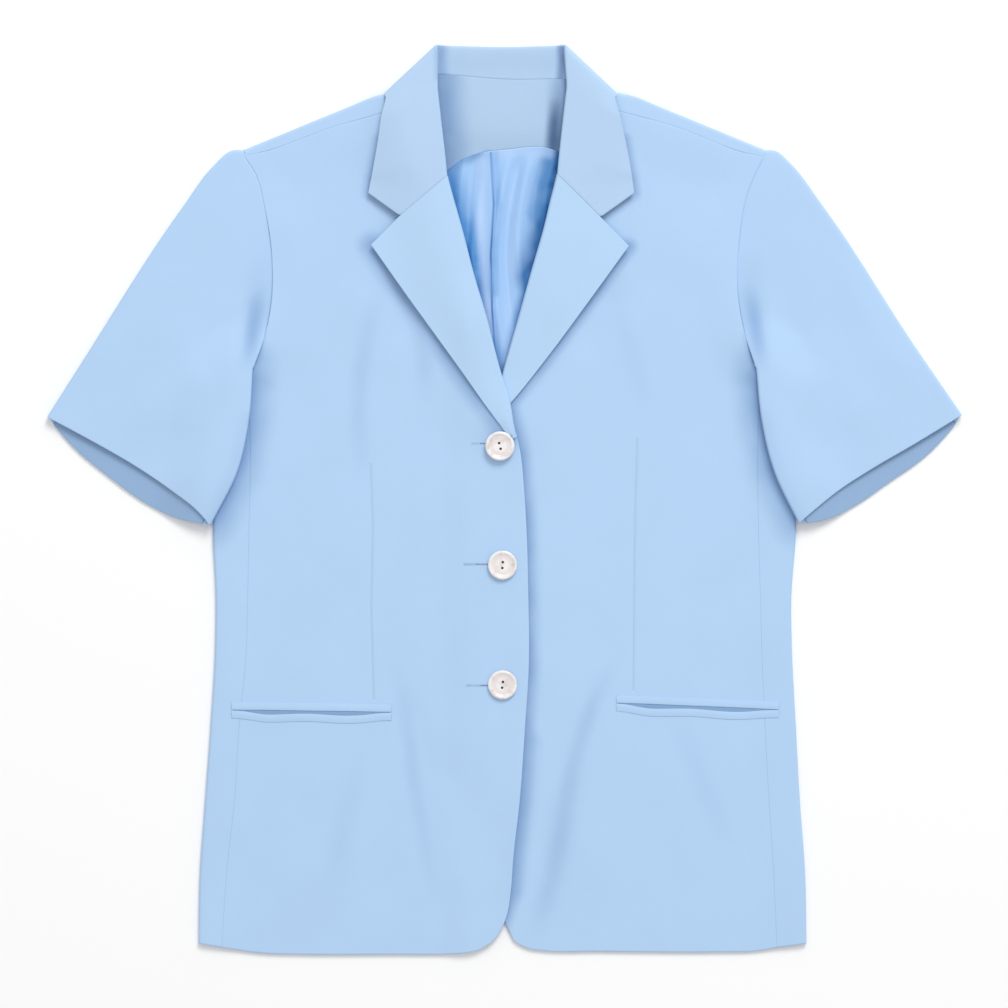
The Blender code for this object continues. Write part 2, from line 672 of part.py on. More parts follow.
def make_lining():
    pleat, facing = curve(PLEAT), curve(FACING_EDGE)
    over, under = LINES["over"].roll, LINES["under"].roll
    rows = []
    for v in np.linspace(0, 1, 13):
        level = LINING_FOOT + v * (LINING_HEAD - LINING_FOOT)
        left = -out_at(over, level) - LINING_MARGIN
        right = max(out_at(under, level), 0) + LINING_MARGIN
        fold = out_at(pleat, level)
        outs = [left + (fold - left) * share for share in np.linspace(0, 1, 6)]
        start = fold + PLEAT_STEP
        outs += [start + (right - start) * share for share in np.linspace(0, 1, 10)]
        row = []
        for out in outs:
            up = LINING_FOOT + v * (up_at(facing, out) - 3 * SEAM - LINING_FOOT)
            row.append((out, up, lining_height(out, up, fold)))
        rows.append(row)
    cloth("lining_back", [rows], 1, wall=THIN, look=("lining", LINING, 0.4))


# Sleeves ------------------------------------------------------------------------------------------


def sleeve_edge(line, radius, way, vs, folded):
    """Edge of a sleeve layer: inside its fold where it has one, else at the seam."""
    points = along(line, vs)
    ahead = along(line, np.clip(vs + 0.01, 0, 1)) - along(line, np.clip(vs - 0.01, 0, 1))
    normals = [unit(np.array([-step[1], step[0]])) * way for step in ahead]
    insets = [WALL / 2 + radius if fold else 2 * SEAM for fold in folded]
    return np.array([p - n * inset for p, n, inset in zip(points, normals, insets)]), normals


def make_sleeve(side):
    """A short sleeve as one flattened tube, open at the armhole and at the cuff."""
    armhole = LINES[side.name].armhole
    underarm = armhole[SLEEVE_SPLIT::-1]
    low_line = joined(underarm[:-1], curve(side.sleeve_low))
    run = np.concatenate([[0], np.cumsum(np.linalg.norm(np.diff(low_line, axis=0), axis=1))])
    opening = run[SLEEVE_SPLIT] / run[-1]
    vs = np.concatenate([run[:SLEEVE_SPLIT] / run[-1], np.linspace(opening, 1, 9)])
    shares = np.linspace(0, 1, ARMHOLE_STEPS - SLEEVE_SPLIT + 1)
    folded = vs > opening - 1e-6
    top_edge, top_normals = sleeve_edge(curve(side.sleeve_top), SIDE_RADIUS, 1, vs, vs > -1)
    low_edge, low_normals = sleeve_edge(low_line, LOW_SLEEVE_RADIUS, -1, vs, folded)
    layers = []
    for cuff in (side.cuff_front, side.cuff_back):
        start = armhole[:SLEEVE_SPLIT - 1:-1] + np.array([2 * SEAM, 0])
        end = along(curve(cuff), shares)
        start[0], start[-1], end[0], end[-1] = top_edge[0], low_edge[0], top_edge[-1], low_edge[-1]
        layers.append(patch(start, end, top_edge, low_edge, vs, shares))
    over, beneath = [], []
    for share, front, behind in zip(shares, *layers):
        radius = SIDE_RADIUS + (LOW_SLEEVE_RADIUS - SIDE_RADIUS) * smooth(share)
        over.append([(*spot, BACK_Z + sleeve_lift(side, *spot) + 2 * radius) for spot in front])
        beneath.append([(*spot, BACK_Z + sleeve_lift(side, *spot)) for spot in behind])
    grids = [over, beneath]
    folds = ((0, top_normals, SIDE_RADIUS, 0), (-1, low_normals, LOW_SLEEVE_RADIUS, SLEEVE_SPLIT))
    for share, normals, radius, first in folds:
        turned = []
        for upper, lower, normal in zip(over[share][first:], beneath[share][first:], normals[first:]):
            hub, middle = np.array(upper[:2]), (upper[2] + lower[2]) / 2
            arc = [upper]
            for angle in turn_angles(4):
                spot = hub + normal * radius * math.sin(angle)
                arc.append((spot[0], spot[1], middle + radius * math.cos(angle)))
            turned.append(arc + [lower])
        grids.append(turned)
    cloth("sleeve_" + side.name, grids, side.sign)


# Pockets and buttons --------------------------------------------------------------------------------


def make_welts(side):
    """Upper and lower welt of a pocket: two narrow strips that lie on the front."""
    start, end = (np.array(point) for point in side.pocket)
    for name, way in (("upper", 1), ("lower", -1)):
        rows = []
        for step in (0, 0.5, 1):
            row = []
            for share in np.linspace(0, 1, 12):
                out, up = start + (end - start) * share
                up += way * (WELT_SPACE / 2 + WELT_HEIGHT * step)
                row.append((out, up, front_height(side, out, up) + THIN_RISE + 0.1))
            rows.append(row)
        cloth("welt_" + name + "_" + side.name, [rows], side.sign, wall=THIN)


def make_button(number, out, up):
    """A turned shell button with a raised rim, a shallow dish and two sewing holes."""
    radius, thick = BUTTON_RADIUS, BUTTON_THICKNESS
    profile = [
        (0.0, 0.0), (radius * 0.78, 0.0), (radius * 0.97, thick * 0.38), (radius, thick * 0.6),
        (radius * 0.96, thick * 0.88), (radius * 0.88, thick), (radius * 0.76, thick * 0.9),
        (radius * 0.66, thick * 0.68), (0.0, thick * 0.6),
    ]
    rest = max(
        front_height(OVER, -out + radius * step_out, up + radius * step_up)
        for step_out in (-0.8, 0, 0.8) for step_up in (-0.8, 0, 0.8)
    )
    build = bmesh.new()
    rings = []
    for far, high in profile:
        ring = []
        for step in range(BUTTON_SIDES if far else 1):
            angle = 2 * math.pi * step / BUTTON_SIDES
            ring.append(build.verts.new((far * math.cos(angle) * MM, far * math.sin(angle) * MM, high * MM)))
        rings.append(ring)
    for inner, outer in zip(rings, rings[1:]):
        for step in range(BUTTON_SIDES):
            beside = (step + 1) % BUTTON_SIDES
            corners = [inner[step % len(inner)], inner[beside % len(inner)]]
            corners += [outer[beside % len(outer)], outer[step % len(outer)]]
            build.faces.new(list(dict.fromkeys(corners)))
    bmesh.ops.recalc_face_normals(build, faces=build.faces)
    mesh = bpy.data.meshes.new("button")
    build.to_mesh(mesh)
    build.free()
    button = bpy.data.objects.new(f"button_{number}", mesh)
    button.location = (out * MM, (up - LENGTH / 2) * MM, (rest + WALL / 2 + GAP) * MM)
    bpy.context.collection.objects.link(button)
    button.data.materials.append(material("shell", SHELL, 0.25))
    for way in (-1, 1):
        drill = bpy.data.meshes.new("sewing_hole")
        hole = bmesh.new()
        bmesh.ops.create_cone(
            hole, cap_ends=True, segments=HOLE_SIDES,
            radius1=HOLE_RADIUS * MM, radius2=HOLE_RADIUS * MM, depth=4 * thick * MM,
        )
        hole.to_mesh(drill)
        hole.free()
        cutter = bpy.data.objects.new(f"sewing_hole_{number}_{way}", drill)
        cutter.parent = button
        cutter.location = (0, way * HOLE_SPACING / 2 * MM, 0)
        cutter.hide_render = True
        cutter.display_type = "WIRE"
        bpy.context.collection.objects.link(cutter)
        cut = button.modifiers.new("sewing hole", "BOOLEAN")
        cut.operation = "DIFFERENCE"
        cut.object = cutter


def main():
    clear_scene()
    make_back()
    for side in SIDES:
        make_side(side)
        make_front(side)
        make_lapel(side)
        make_sleeve(side)
        make_welts(side)
    make_collar()
    make_facing()
    make_lining()
    for number, (out, up) in enumerate(BUTTONS, start=1):
        make_button(number, out, up)


main()
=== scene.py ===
"""Short sleeve blazer in pale blue cloth, buttoned and laid flat on its back.

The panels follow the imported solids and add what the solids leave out: soft creases, rounded
edges, seams, darts, buttonholes, the weave and the satin of the lining. Tables are in
millimetres, as (out, up): `out` is the distance from the centre line towards a side seam and
`up` the height above the lowest point of the hem. Meshes are made in metres.
"""

import math
from collections import namedtuple

import bmesh
import bpy
import numpy as np
from mathutils import Matrix, Vector


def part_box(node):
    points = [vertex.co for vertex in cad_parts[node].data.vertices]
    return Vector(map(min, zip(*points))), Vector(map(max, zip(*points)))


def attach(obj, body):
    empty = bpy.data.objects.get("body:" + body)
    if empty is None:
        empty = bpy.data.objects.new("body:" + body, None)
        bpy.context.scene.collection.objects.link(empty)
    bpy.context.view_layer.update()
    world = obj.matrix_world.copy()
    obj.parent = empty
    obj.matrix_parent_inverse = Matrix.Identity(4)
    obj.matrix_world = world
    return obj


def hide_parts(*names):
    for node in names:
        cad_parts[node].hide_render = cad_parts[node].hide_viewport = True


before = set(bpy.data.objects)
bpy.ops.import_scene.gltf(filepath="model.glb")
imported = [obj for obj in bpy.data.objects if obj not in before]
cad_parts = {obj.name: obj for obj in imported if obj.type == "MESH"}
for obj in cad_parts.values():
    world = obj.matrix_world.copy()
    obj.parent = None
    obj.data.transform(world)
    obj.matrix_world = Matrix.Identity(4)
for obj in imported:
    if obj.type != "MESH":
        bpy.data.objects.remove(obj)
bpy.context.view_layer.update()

bl_info = {
    "name": "Short sleeve blazer",
    "version": (1, 0, 0),
    "blender": (4, 5, 0),
    "location": "3D View > Sidebar > Blazer",
    "description": "Builds a short sleeve blazer laid flat, piece by piece",
    "category": "Object",
}

MM = 0.001
LENGTH = 687.7  # from the hem to the top of the collar

# Cloth walls, and the space left between pieces
WALL = 1.2
THIN = 1.0
GAP = 0.3
SEAM = -0.12  # pieces meet at a seam, where their rounded edges leave a shallow groove

# Heights of the middle of each wall above the surface the blazer lies on
BACK_Z = WALL / 2
FRONT_Z = 2.4
NECK_Z = 6.0
COLLAR_STAND_Z = 3.7
LEAF_RISE = 1.9
THIN_RISE = WALL / 2 + GAP + THIN / 2 + 0.2
SIDE_RADIUS = 1.8
LOW_SLEEVE_RADIUS = 1.2
SLEEVE_LIFT = 5.3
ROLL_RADIUS = 1.75
ROLL_INSET = 3.0

Level = namedtuple("Level", "up fold seam")
Station = namedtuple("Station", "roll outer")
Crease = namedtuple("Crease", "start end width depth")
Cut = namedtuple("Cut", "width length area held rests_on")
Side = namedtuple(
    "Side",
    "name sign levels armhole shoulder_seam neck_seam front_edge hem lapel_roll lapel_edge"
    " sleeve_top sleeve_low cuff_front cuff_back pocket collar dart creases sleeve_creases",
)

# The side that buttons on top: the wearer's right
OVER = Side(
    name="over",
    sign=-1,
    levels=[
        Level(8, 231.5, 214.0),
        Level(60, 230.5, 210.5),
        Level(116, 226.5, 204.5),
        Level(171, 222.5, 201.0),
        Level(230, 219.0, 195.5),
        Level(270, 218.5, 194.5),
        Level(321, 220.5, 193.5),
        Level(381, 217.5, 192.5),
        Level(424, 211.0, 194.0),
    ],
    armhole=[(190, 443), (183.5, 460), (177, 487), (175.5, 522), (180.5, 561), (189, 592), (197, 604)],
    shoulder_seam=[(197, 604), (178.5, 608), (155, 616.5), (132, 625), (94, 635.5), (69, 642)],
    neck_seam=[(69, 642), (60, 620), (53, 600), (49.5, 587)],
    front_edge=[
        (11, 8.5), (6, 13.5), (2, 20), (-1, 27), (-5, 50), (-6.5, 71), (-11.5, 116),
        (-15.5, 171), (-18.5, 220), (-18, 276), (-17, 315), (-15, 350), (-12, 380), (-6, 405),
    ],
    hem=[(214, 5.2), (184, 0.9), (155, 0), (80, 0), (49, 0), (33.5, 0.8), (20.5, 3.2), (11, 8.5)],
    lapel_roll=[
        (43, 586.5), (36.5, 565), (30, 541.5), (23.5, 516), (14, 484), (2.6, 440), (-4, 419),
        (-7, 401), (-9.2, 391.5),
    ],
    lapel_edge=[(101, 536.5), (74.5, 499), (37.5, 448), (3.6, 401), (-2.5, 393.5), (-8.6, 391)],
    sleeve_top=[(196.3, 608.2), (205, 608.5), (220, 596.5), (242.5, 566.5), (321.5, 445), (346, 406.5)],
    sleeve_low=[(190, 443.5), (193, 404), (201, 367), (222, 324.5)],
    cuff_front=[(346, 406.5), (312.5, 388.5), (279.5, 369.5), (250, 349.5), (233.5, 337), (222, 324.5)],
    cuff_back=[(346, 406), (324, 381.5), (298.5, 360.5), (273, 342), (252.5, 331.5), (222, 324)],
    pocket=[(206.5, 184.8), (85.5, 183)],
    collar=[
        Station((43, 587.2), (103, 575.5)),
        Station((44.5, 603), (99, 596)),
        Station((47.5, 629), (95.5, 616)),
        Station((50.5, 656), (93, 634)),
    ],
    dart=[(101.4, 370), (99.8, 321.7), (101.1, 261.9), (99.1, 193)],
    creases=[
        Crease((88, 512), (78, 455), 15, -1.33),
        Crease((118, 505), (96, 440), 22, 0.95),
        Crease((79, 205), (57, 60), 10, -1.1),
        Crease((44, 150), (27, 66), 17, -1.04),
        Crease((60, 140), (40, 60), 12, 0.66),
        Crease((172, 455), (150, 385), 20, -0.85),
        Crease((165, 560), (150, 500), 24, 0.76),
        Crease((20, 230), (14, 140), 12, 0.57),
        Crease((150, 150), (160, 40), 30, 0.76),
    ],
    sleeve_creases=[
        Crease((215, 440), (248, 372), 13, -1.33),
        Crease((240, 470), (280, 392), 18, 0.95),
        Crease((205, 520), (228, 450), 16, -0.76),
        Crease((262, 515), (318, 432), 24, 0.66),
    ],
)

# The side that buttons underneath: the wearer's left
UNDER = Side(
    name="under",
    sign=1,
    levels=[
        Level(8, 228.5, 206.0),
        Level(60, 227.5, 203.5),
        Level(116, 223.5, 200.0),
        Level(171, 220.5, 197.0),
        Level(230, 217.5, 194.5),
        Level(270, 217.0, 193.5),
        Level(321, 220.5, 192.0),
        Level(381, 217.5, 191.5),
        Level(424, 210.0, 193.5),
    ],
    armhole=[(190, 443), (181, 471), (176, 502), (177, 536), (184, 577), (196, 603.5)],
    shoulder_seam=[(196, 603.5), (178.5, 607), (155, 616), (132, 625), (94, 635.5), (64, 642)],
    neck_seam=[(64, 642), (56, 620), (49.5, 600), (46, 587)],
    front_edge=[
        (7, 10.5), (0.5, 24), (-8, 43), (-16, 70), (-21, 105), (-22.5, 140), (-22.5, 240),
        (-22.5, 340), (-20, 400),
    ],
    hem=[(206, 5.2), (190, 2.4), (165, 1.8), (72, 2.2), (30, 2.6), (20, 3.8), (12, 6.8), (7, 10.5)],
    lapel_roll=[(39.5, 587.5), (35.5, 574), (30, 551), (20, 516), (10, 480), (1, 449), (-5, 427)],
    lapel_edge=[(94, 535.5), (67.5, 499), (28.5, 446.5), (5.5, 418), (1, 413)],
    sleeve_top=[(195.6, 607.9), (204, 608.5), (215.5, 599), (240.5, 566.5), (310, 460.5), (346, 408)],
    sleeve_low=[(190, 443.5), (194, 404), (203.5, 365), (222, 326)],
    cuff_front=[(346, 408), (310, 386), (277.5, 367), (250, 349), (235, 337), (222, 326)],
    cuff_back=[(346, 406), (319.5, 377.5), (289.5, 356), (264, 338.5), (245.5, 329.5), (222, 325)],
    pocket=[(207.5, 185), (84.5, 190)],
    collar=[
        Station((39.5, 588.2), (98, 575.5)),
        Station((41, 604), (95, 596)),
        Station((44, 632), (91, 616)),
        Station((47, 658), (87, 634)),
    ],
    dart=[(100.3, 389), (98.8, 343.7), (98, 298.3), (97.7, 249), (97.3, 199.8)],
    creases=[
        Crease((84, 505), (62, 452), 16, -1.14),
        Crease((112, 500), (90, 430), 22, 0.85),
        Crease((62, 182), (31, 38), 12, -1.5),
        Crease((74, 175), (66, 60), 18, 0.66),
        Crease((30, 300), (26, 205), 13, 0.57),
        Crease((172, 452), (148, 380), 21, -0.76),
        Crease((160, 565), (146, 505), 22, 0.76),
        Crease((148, 140), (156, 30), 28, 0.76),
    ],
    sleeve_creases=[
        Crease((214, 444), (244, 368), 14, -1.23),
        Crease((238, 462), (276, 396), 17, 0.85),
        Crease((208, 524), (226, 446), 15, -0.85),
        Crease((258, 520), (310, 436), 26, 0.66),
    ],
)

SIDES = (OVER, UNDER)
SHOULDER_TIP = (197.5, 608.3)
SHOULDER_FOLD = [SHOULDER_TIP, (112, 643.3), (95, 650.0), (88, 651.0), (69, 654.6)]
NECK_TURN = {"over": (69, 654.6), "under": (64, 654.6)}
COLLAR_CORNER = {"over": (51.9, 687.6), "under": (46.5, 687.6)}
LEAF_FOLD = {"over": (90.3, 651.8), "under": (84.3, 651.8)}
COLLAR_BACK_DIP = 1.3
CORNER_SLIDE = (3.0, -1.0)
NECK_CLEARANCE = (2.6, -1.5)
NECK_SEAM_SPACE = 0.9
STAND_SLANT = 10.0
NECK_SPREAD = 1.2
FALL_DEPTH = 54.0
KNEE = 0.39
NOTCH = {"over": (79, 558.2), "under": (72.5, 557.2)}
FACING_EDGE = [(-51, 587), (-43, 593), (-30, 602), (-14, 607), (3, 609), (30, 610.5), (49, 604)]
STAND_SEAM = [(-61, 665.5), (-51, 665.5), (3, 661.5), (46, 662), (56, 662)]
PLEAT = [(-5, 424), (-7, 455), (-9.5, 488), (-10.5, 529), (-8, 567), (-10.5, 606)]
LINING_MARGIN = 8.0
BACK_HEM_RISE = 20.5
BACK_SEAM_INSET = 45.0
WELT_HEIGHT = 6.3
WELT_SPACE = 0.5
WELT_RISE = WALL / 2 + 0.35
BUTTONS = [(-3.5, 384.5), (-1.5, 294.5), (-1.5, 204.0)]
SHANK = 0.0008  # metres that a button stands off the cloth on its thread
HOLE_TILTS = (-15, 4, 8)  # degrees from upright, towards the wearer's left


# A soft band of painted shade along a line, or of painted highlight where its colour is above one. Its ends fade
# over a length, where one is given
Tint = namedtuple("Tint", "points width share colour fade", defaults=[0])
# Painted shade: a multiple of the cloth's colour that darkens it beside pieces lying over it
OVERLAP_SHADE = (0.52, 0.6, 0.72)  # times the cloth's colour, where pieces lie close over each other

# Painted shade of a soft fold, as a multiple of the cloth's colour
FOLD_SHADE = (0.8, 0.83, 0.88)
# Painted shade along the soft folds of each front, as (points, width, share, fade)
FOLD_SHADE_BANDS = {
    "over": [
        ([(92, 508), (102, 476), (109, 440), (110, 400), (106, 360)], 11, 0.42, 60),
        ([(68, 486), (61, 455), (60, 420)], 11, 0.5, 45),
        ([(84, 228), (74, 175), (66, 116), (52, 36)], 10, 0.48, 85),
        ([(110, 158), (120, 105), (131, 45)], 15, 0.24, 60),
    ],
    "under": [
        ([(84, 224), (67, 190), (54, 152), (43, 96), (36, 60), (24, 14)], 10, 0.55, 60),
        ([(54, 150), (44, 101), (37, 61), (25, 18)], 17, 0.45, 60),
        ([(130, 180), (150, 130), (170, 80)], 15, 0.24, 50),
        ([(82, 500), (98, 450), (113, 396)], 13, 0.2, 55),
    ],
}

# Soft shade inside the neck, as (across, up) with the wearer's left side positive
FACING_SHADE = [
    Tint([(-52, 684), (-49, 630), (-45, 600)], 28, 1.0, OVERLAP_SHADE),
    Tint([(46, 684), (45, 632), (40, 588)], 16, 0.75, OVERLAP_SHADE),
    Tint([(40.5, 658), (38.5, 630), (35, 590)], 10, 0.65, (0.2, 0.27, 0.38), 45),
    Tint([(38.6, 644), (35.5, 598)], 7.5, 1.0, (0.17, 0.24, 0.35), 26),
]
# Painted shade on the collar's stand beside both rolls, and across the top of the collar
COLLAR_SHADE = [
    Tint([(-47.5, 685), (-46.5, 664)], 8.5, 0.75, (0.42, 0.52, 0.66)),
    Tint([(42.5, 685), (42, 664)], 5.5, 0.9, (0.3, 0.38, 0.52)),
    Tint([(-34, 674), (29, 674)], 22, 0.9, (0.9, 0.915, 0.925)),
]
# Painted shade along the rolls and the pleat of the lining, and painted highlights where a colour is above one
LINING_SHADE_AND_HIGHLIGHTS = [
    Tint([(-47, 592), (-31, 541), (-21, 505)], 20, 0.95, (0.17, 0.44, 0.65)),
    Tint([(-21, 505), (-15, 484), (-3, 438)], 9, 0.8, (0.25, 0.46, 0.66)),
    Tint([(42, 606), (34, 572), (28, 541), (20, 512)], 18, 1.0, (0.02, 0.22, 0.41)),
    Tint([(20, 512), (7, 462), (-2, 436)], 9, 0.9, (0.12, 0.34, 0.53)),
    Tint([(33, 600), (27, 574), (23, 560)], 9, 0.6, (0.2, 0.45, 0.64)),
    Tint([(-46, 590), (-36, 600), (-22, 606)], 9, 0.75, (0.25, 0.45, 0.62)),
    Tint([(-6, 606), (14, 607), (34, 606)], 7, 0.5, (1.35, 1.15, 1.06)),
    Tint([(-18, 600), (-17, 540), (-11, 470)], 6, 0.5, (1.5, 1.2, 1.07)),
    Tint([(6, 590), (5, 520), (1, 450)], 7, 0.35, (1.3, 1.13, 1.04)),
    Tint([(-7, 606), (-5, 567), (-7.5, 529), (-7, 500)], 4.5, 0.5, (0.4, 0.62, 0.8)),
    Tint([(-10.5, 606), (-8.2, 567), (-10.4, 529), (-9.4, 488), (-6, 440)], 1.4, 0.85, (0.12, 0.3, 0.5)),
]

# Curves ---------------------------------------------------------------------------------


def curve(points, steps=24):
    """A smooth line through the points, as a dense row of points."""
    known = np.array(points, float)
    if len(known) == 2:
        return known
    padded = np.vstack([2 * known[0] - known[1], known, 2 * known[-1] - known[-2]])
    dense = []
    for a, b, c, d in zip(padded, padded[1:], padded[2:], padded[3:]):
        for t in np.arange(steps) / steps:
            slope_b, slope_c = tangent(a, b, c), tangent(b, c, d)
            length = np.linalg.norm(c - b)
            dense.append(
                (2 * t**3 - 3 * t**2 + 1) * b
                + (t**3 - 2 * t**2 + t) * length * slope_b
                + (3 * t**2 - 2 * t**3) * c
                + (t**3 - t**2) * length * slope_c
            )
    return np.array(dense + [known[-1]])


def tangent(before, here, after):
    """Direction at a point, weighted towards its nearer neighbour."""
    back, ahead = here - before, after - here
    near, far = np.linalg.norm(back), np.linalg.norm(ahead)
    return (back / near * far + ahead / far * near) / (near + far)


def along(line, fractions):
    """Points at fractions of the length of a dense line."""
    steps = np.linalg.norm(np.diff(line, axis=0), axis=1)
    run = np.concatenate([[0], np.cumsum(steps)])
    wanted = np.asarray(fractions) * run[-1]
    return np.column_stack([np.interp(wanted, run, line[:, axis]) for axis in range(line.shape[1])])


def joined(*parts):
    return np.vstack(parts)


def out_at(line, up):
    """How far out a line lies at a height."""
    ordered = line[np.argsort(line[:, 1])]
    return float(np.interp(up, ordered[:, 1], ordered[:, 0]))


def up_at(line, out):
    """How high a line lies at a distance out."""
    ordered = line[np.argsort(line[:, 0])]
    return float(np.interp(out, ordered[:, 0], ordered[:, 1]))


def smooth(value):
    value = min(max(value, 0.0), 1.0)
    return value * value * (3 - 2 * value)


def unit(vector):
    return vector / np.linalg.norm(vector)


def distance_to(line, point):
    starts, runs = line[:-1], np.diff(line, axis=0)
    share = np.clip(((point - starts) * runs).sum(1) / (runs**2).sum(1), 0, 1)
    return float(np.linalg.norm(starts + runs * share[:, None] - point, axis=1).min())


def shares(count, near=0.004, low=True, high=True):
    """Fractions from 0 to 1 that crowd towards the ends, so that an edge rounds tightly."""
    inner = list(np.linspace(0, 1, count))
    start = [near, 2.4 * near] if low else []
    end = [1 - 2.4 * near, 1 - near] if high else []
    kept = [s for s in inner if not (start and 0 < s < 3.5 * near) and not (end and 1 > s > 1 - 3.5 * near)]
    return np.array(sorted(kept + start + end))


def patch(left, right, bottom, top, us, vs):
    """Points filling four edges that meet at their corners: one row for each of vs."""
    rows = []
    for row, v in enumerate(vs):
        u = np.asarray(us)[:, None]
        sideways = (1 - u) * left[row] + u * right[row]
        upward = (1 - v) * bottom + v * top
        corners = (1 - v) * ((1 - u) * left[0] + u * right[0]) + v * ((1 - u) * left[-1] + u * right[-1])
        rows.append(sideways + upward - corners)
    return rows


# Heights of the layers --------------------------------------------------------------------


def fullness(out, up):
    """How much fuller the cloth lies than the pressed solids: at the neck and at the sleeves."""
    at_neck = 0.8 * smooth((up - 430) / 120) * (1 - smooth((abs(out) - 75) / 90))
    at_sleeve = 0.65 * smooth((abs(out) - 165) / 50) * smooth((up - 290) / 70)
    return 1.0 + at_neck + at_sleeve


class Lines:
    """The dense curves of one side, worked out once."""

    def __init__(self, side):
        self.fold = curve([(level.fold, level.up) for level in side.levels])
        seam = [side.hem[0]] + [(level.seam, level.up) for level in side.levels[1:]]
        self.seam = joined(curve(seam), [side.armhole[0]])
        self.armhole = curve(side.armhole)
        self.shoulder = curve(side.shoulder_seam)
        self.neck = curve(side.neck_seam)
        self.roll = curve(side.lapel_roll)
        self.front_edge = curve(side.front_edge)
        self.hem = curve(side.hem)
        self.inner = joined(self.roll[::-1], self.neck[::-1])
        self.body_side = joined([side.armhole[0]], self.fold[::-1])


LINES = {side.name: Lines(side) for side in SIDES}


def creases_at(creases, out, up):
    """Height that a table of soft creases adds at a point. Each fades towards its ends."""
    total = 0.0
    for crease in creases:
        start, end = np.array(crease.start, float), np.array(crease.end, float)
        run = end - start
        length = np.linalg.norm(run)
        place = (out - start[0], up - start[1])
        share = (place[0] * run[0] + place[1] * run[1]) / length**2
        if not -0.25 < share < 1.25:
            continue
        bow = 0.06 * length * math.sin(math.pi * min(max(share, 0), 1))
        aside = (place[0] * run[1] - place[1] * run[0]) / length - bow
        if abs(aside) > 2.6 * crease.width:
            continue
        fade = smooth((share + 0.25) / 0.5) * smooth((1.25 - share) / 0.6)
        total += 1.25 * crease.depth * fade * math.exp(-((aside / crease.width) ** 2))
    return total


def back_height(out, up):
    """Middle of the back's wall: it rises over the fall of the collar behind the neck."""
    over_collar = smooth((up - 597) / 28) * (1 - smooth((abs(out) - 98) / 34))
    return BACK_Z + (WALL + GAP) * over_collar


def front_height(side, out, up):
    """Middle of the wall of a front, of the side panel beside it and of the shoulder."""
    lines = LINES[side.name]
    by_side = SIDE_RADIUS * (1 - smooth((out_at(lines.fold, up) - fold_inset() - out) / 38))
    by_armhole = 0.0
    if up > 380:
        reach = distance_to(lines.armhole, np.array([out, up]))
        underarm = 1.9 * (1 - smooth((up - 455) / 75))
        by_armhole = (1.4 + underarm) * (1 - smooth((reach - 2) / 30)) * smooth((up - 420) / 25)
    by_shoulder = 0.0
    if up > 540:
        below = up_at(lines.shoulder, out) - up
        by_shoulder = 1.5 * (1 - smooth((below - 2) / 40))
    by_neck = 0.0
    if up > 350:
        reach = out - out_at(lines.inner, up)
        rise = NECK_Z - FRONT_Z - 1.3 * (1 - smooth((up - 420) / 80))
        by_neck = rise * (1 - smooth((reach - 12) / 52)) * smooth((up - 372) / 36)
    height = FRONT_Z + sum(part**4 for part in (by_side, by_armhole, by_shoulder, by_neck)) ** 0.25
    if side is OVER:
        height += overlap_rise(out, up)
    return height


def overlap_rise(out, up):
    """The top front climbs over the hidden edge of the other, and over its lapel."""
    over_front = 2.3 * smooth((50 - out) / 24) * (1 - smooth((up - 470) / 50))
    over_front += 1.1 * smooth((6 - out) / 22) * (1 - smooth((up - 400) / 40))
    at_break = 1.7 * smooth((40 - out) / 30) * smooth((up - 383) / 24) * (1 - smooth((up - 440) / 60))
    lifted_edge = 1.5 * math.exp(-(((up - 105) / 45) ** 2)) * smooth((20 - out) / 35)
    return over_front + at_break + lifted_edge


def leaf_height(side, out, up, share):
    """Middle of the wall of a lapel or of the collar, lying on the front."""
    lifted = 0.5 * math.sin(math.pi * share) + 1.3 * (1 - share) ** 2 * smooth((up - 395) / 60)
    pressed = 1 - smooth((up - 388) / 45) if side is OVER else 0.0
    return front_height(side, out, up) + LEAF_RISE - 0.6 * pressed + lifted


def fold_inset():
    return WALL / 2 + SIDE_RADIUS


def sleeve_lift(side, out, up):
    """Rise of the sleeve's lower layer where it passes over the side of the body."""
    lines = LINES[side.name]
    if up < side.armhole[0][1] and out < out_at(lines.body_side, up):
        return SLEEVE_LIFT
    reach = distance_to(lines.body_side, np.array([out, up]))
    return SLEEVE_LIFT * (1 - smooth((reach - 4) / 40))


# Finishes ---------------------------------------------------------------------------------------


class Shade:
    """A number that changes over a surface. Arithmetic on it adds Math nodes to its finish."""

    def __init__(self, finish, socket):
        self.finish = finish
        self.socket = socket

    def __add__(self, other):
        return self.finish.maths("ADD", self, other)

    def __radd__(self, other):
        return self.finish.maths("ADD", other, self)

    def __sub__(self, other):
        return self.finish.maths("SUBTRACT", self, other)

    def __rsub__(self, other):
        return self.finish.maths("SUBTRACT", other, self)

    def __mul__(self, other):
        return self.finish.maths("MULTIPLY", self, other)

    def __rmul__(self, other):
        return self.finish.maths("MULTIPLY", other, self)

    def __truediv__(self, other):
        return self.finish.maths("DIVIDE", self, other)

    def __pow__(self, other):
        return self.finish.maths("POWER", self, other)


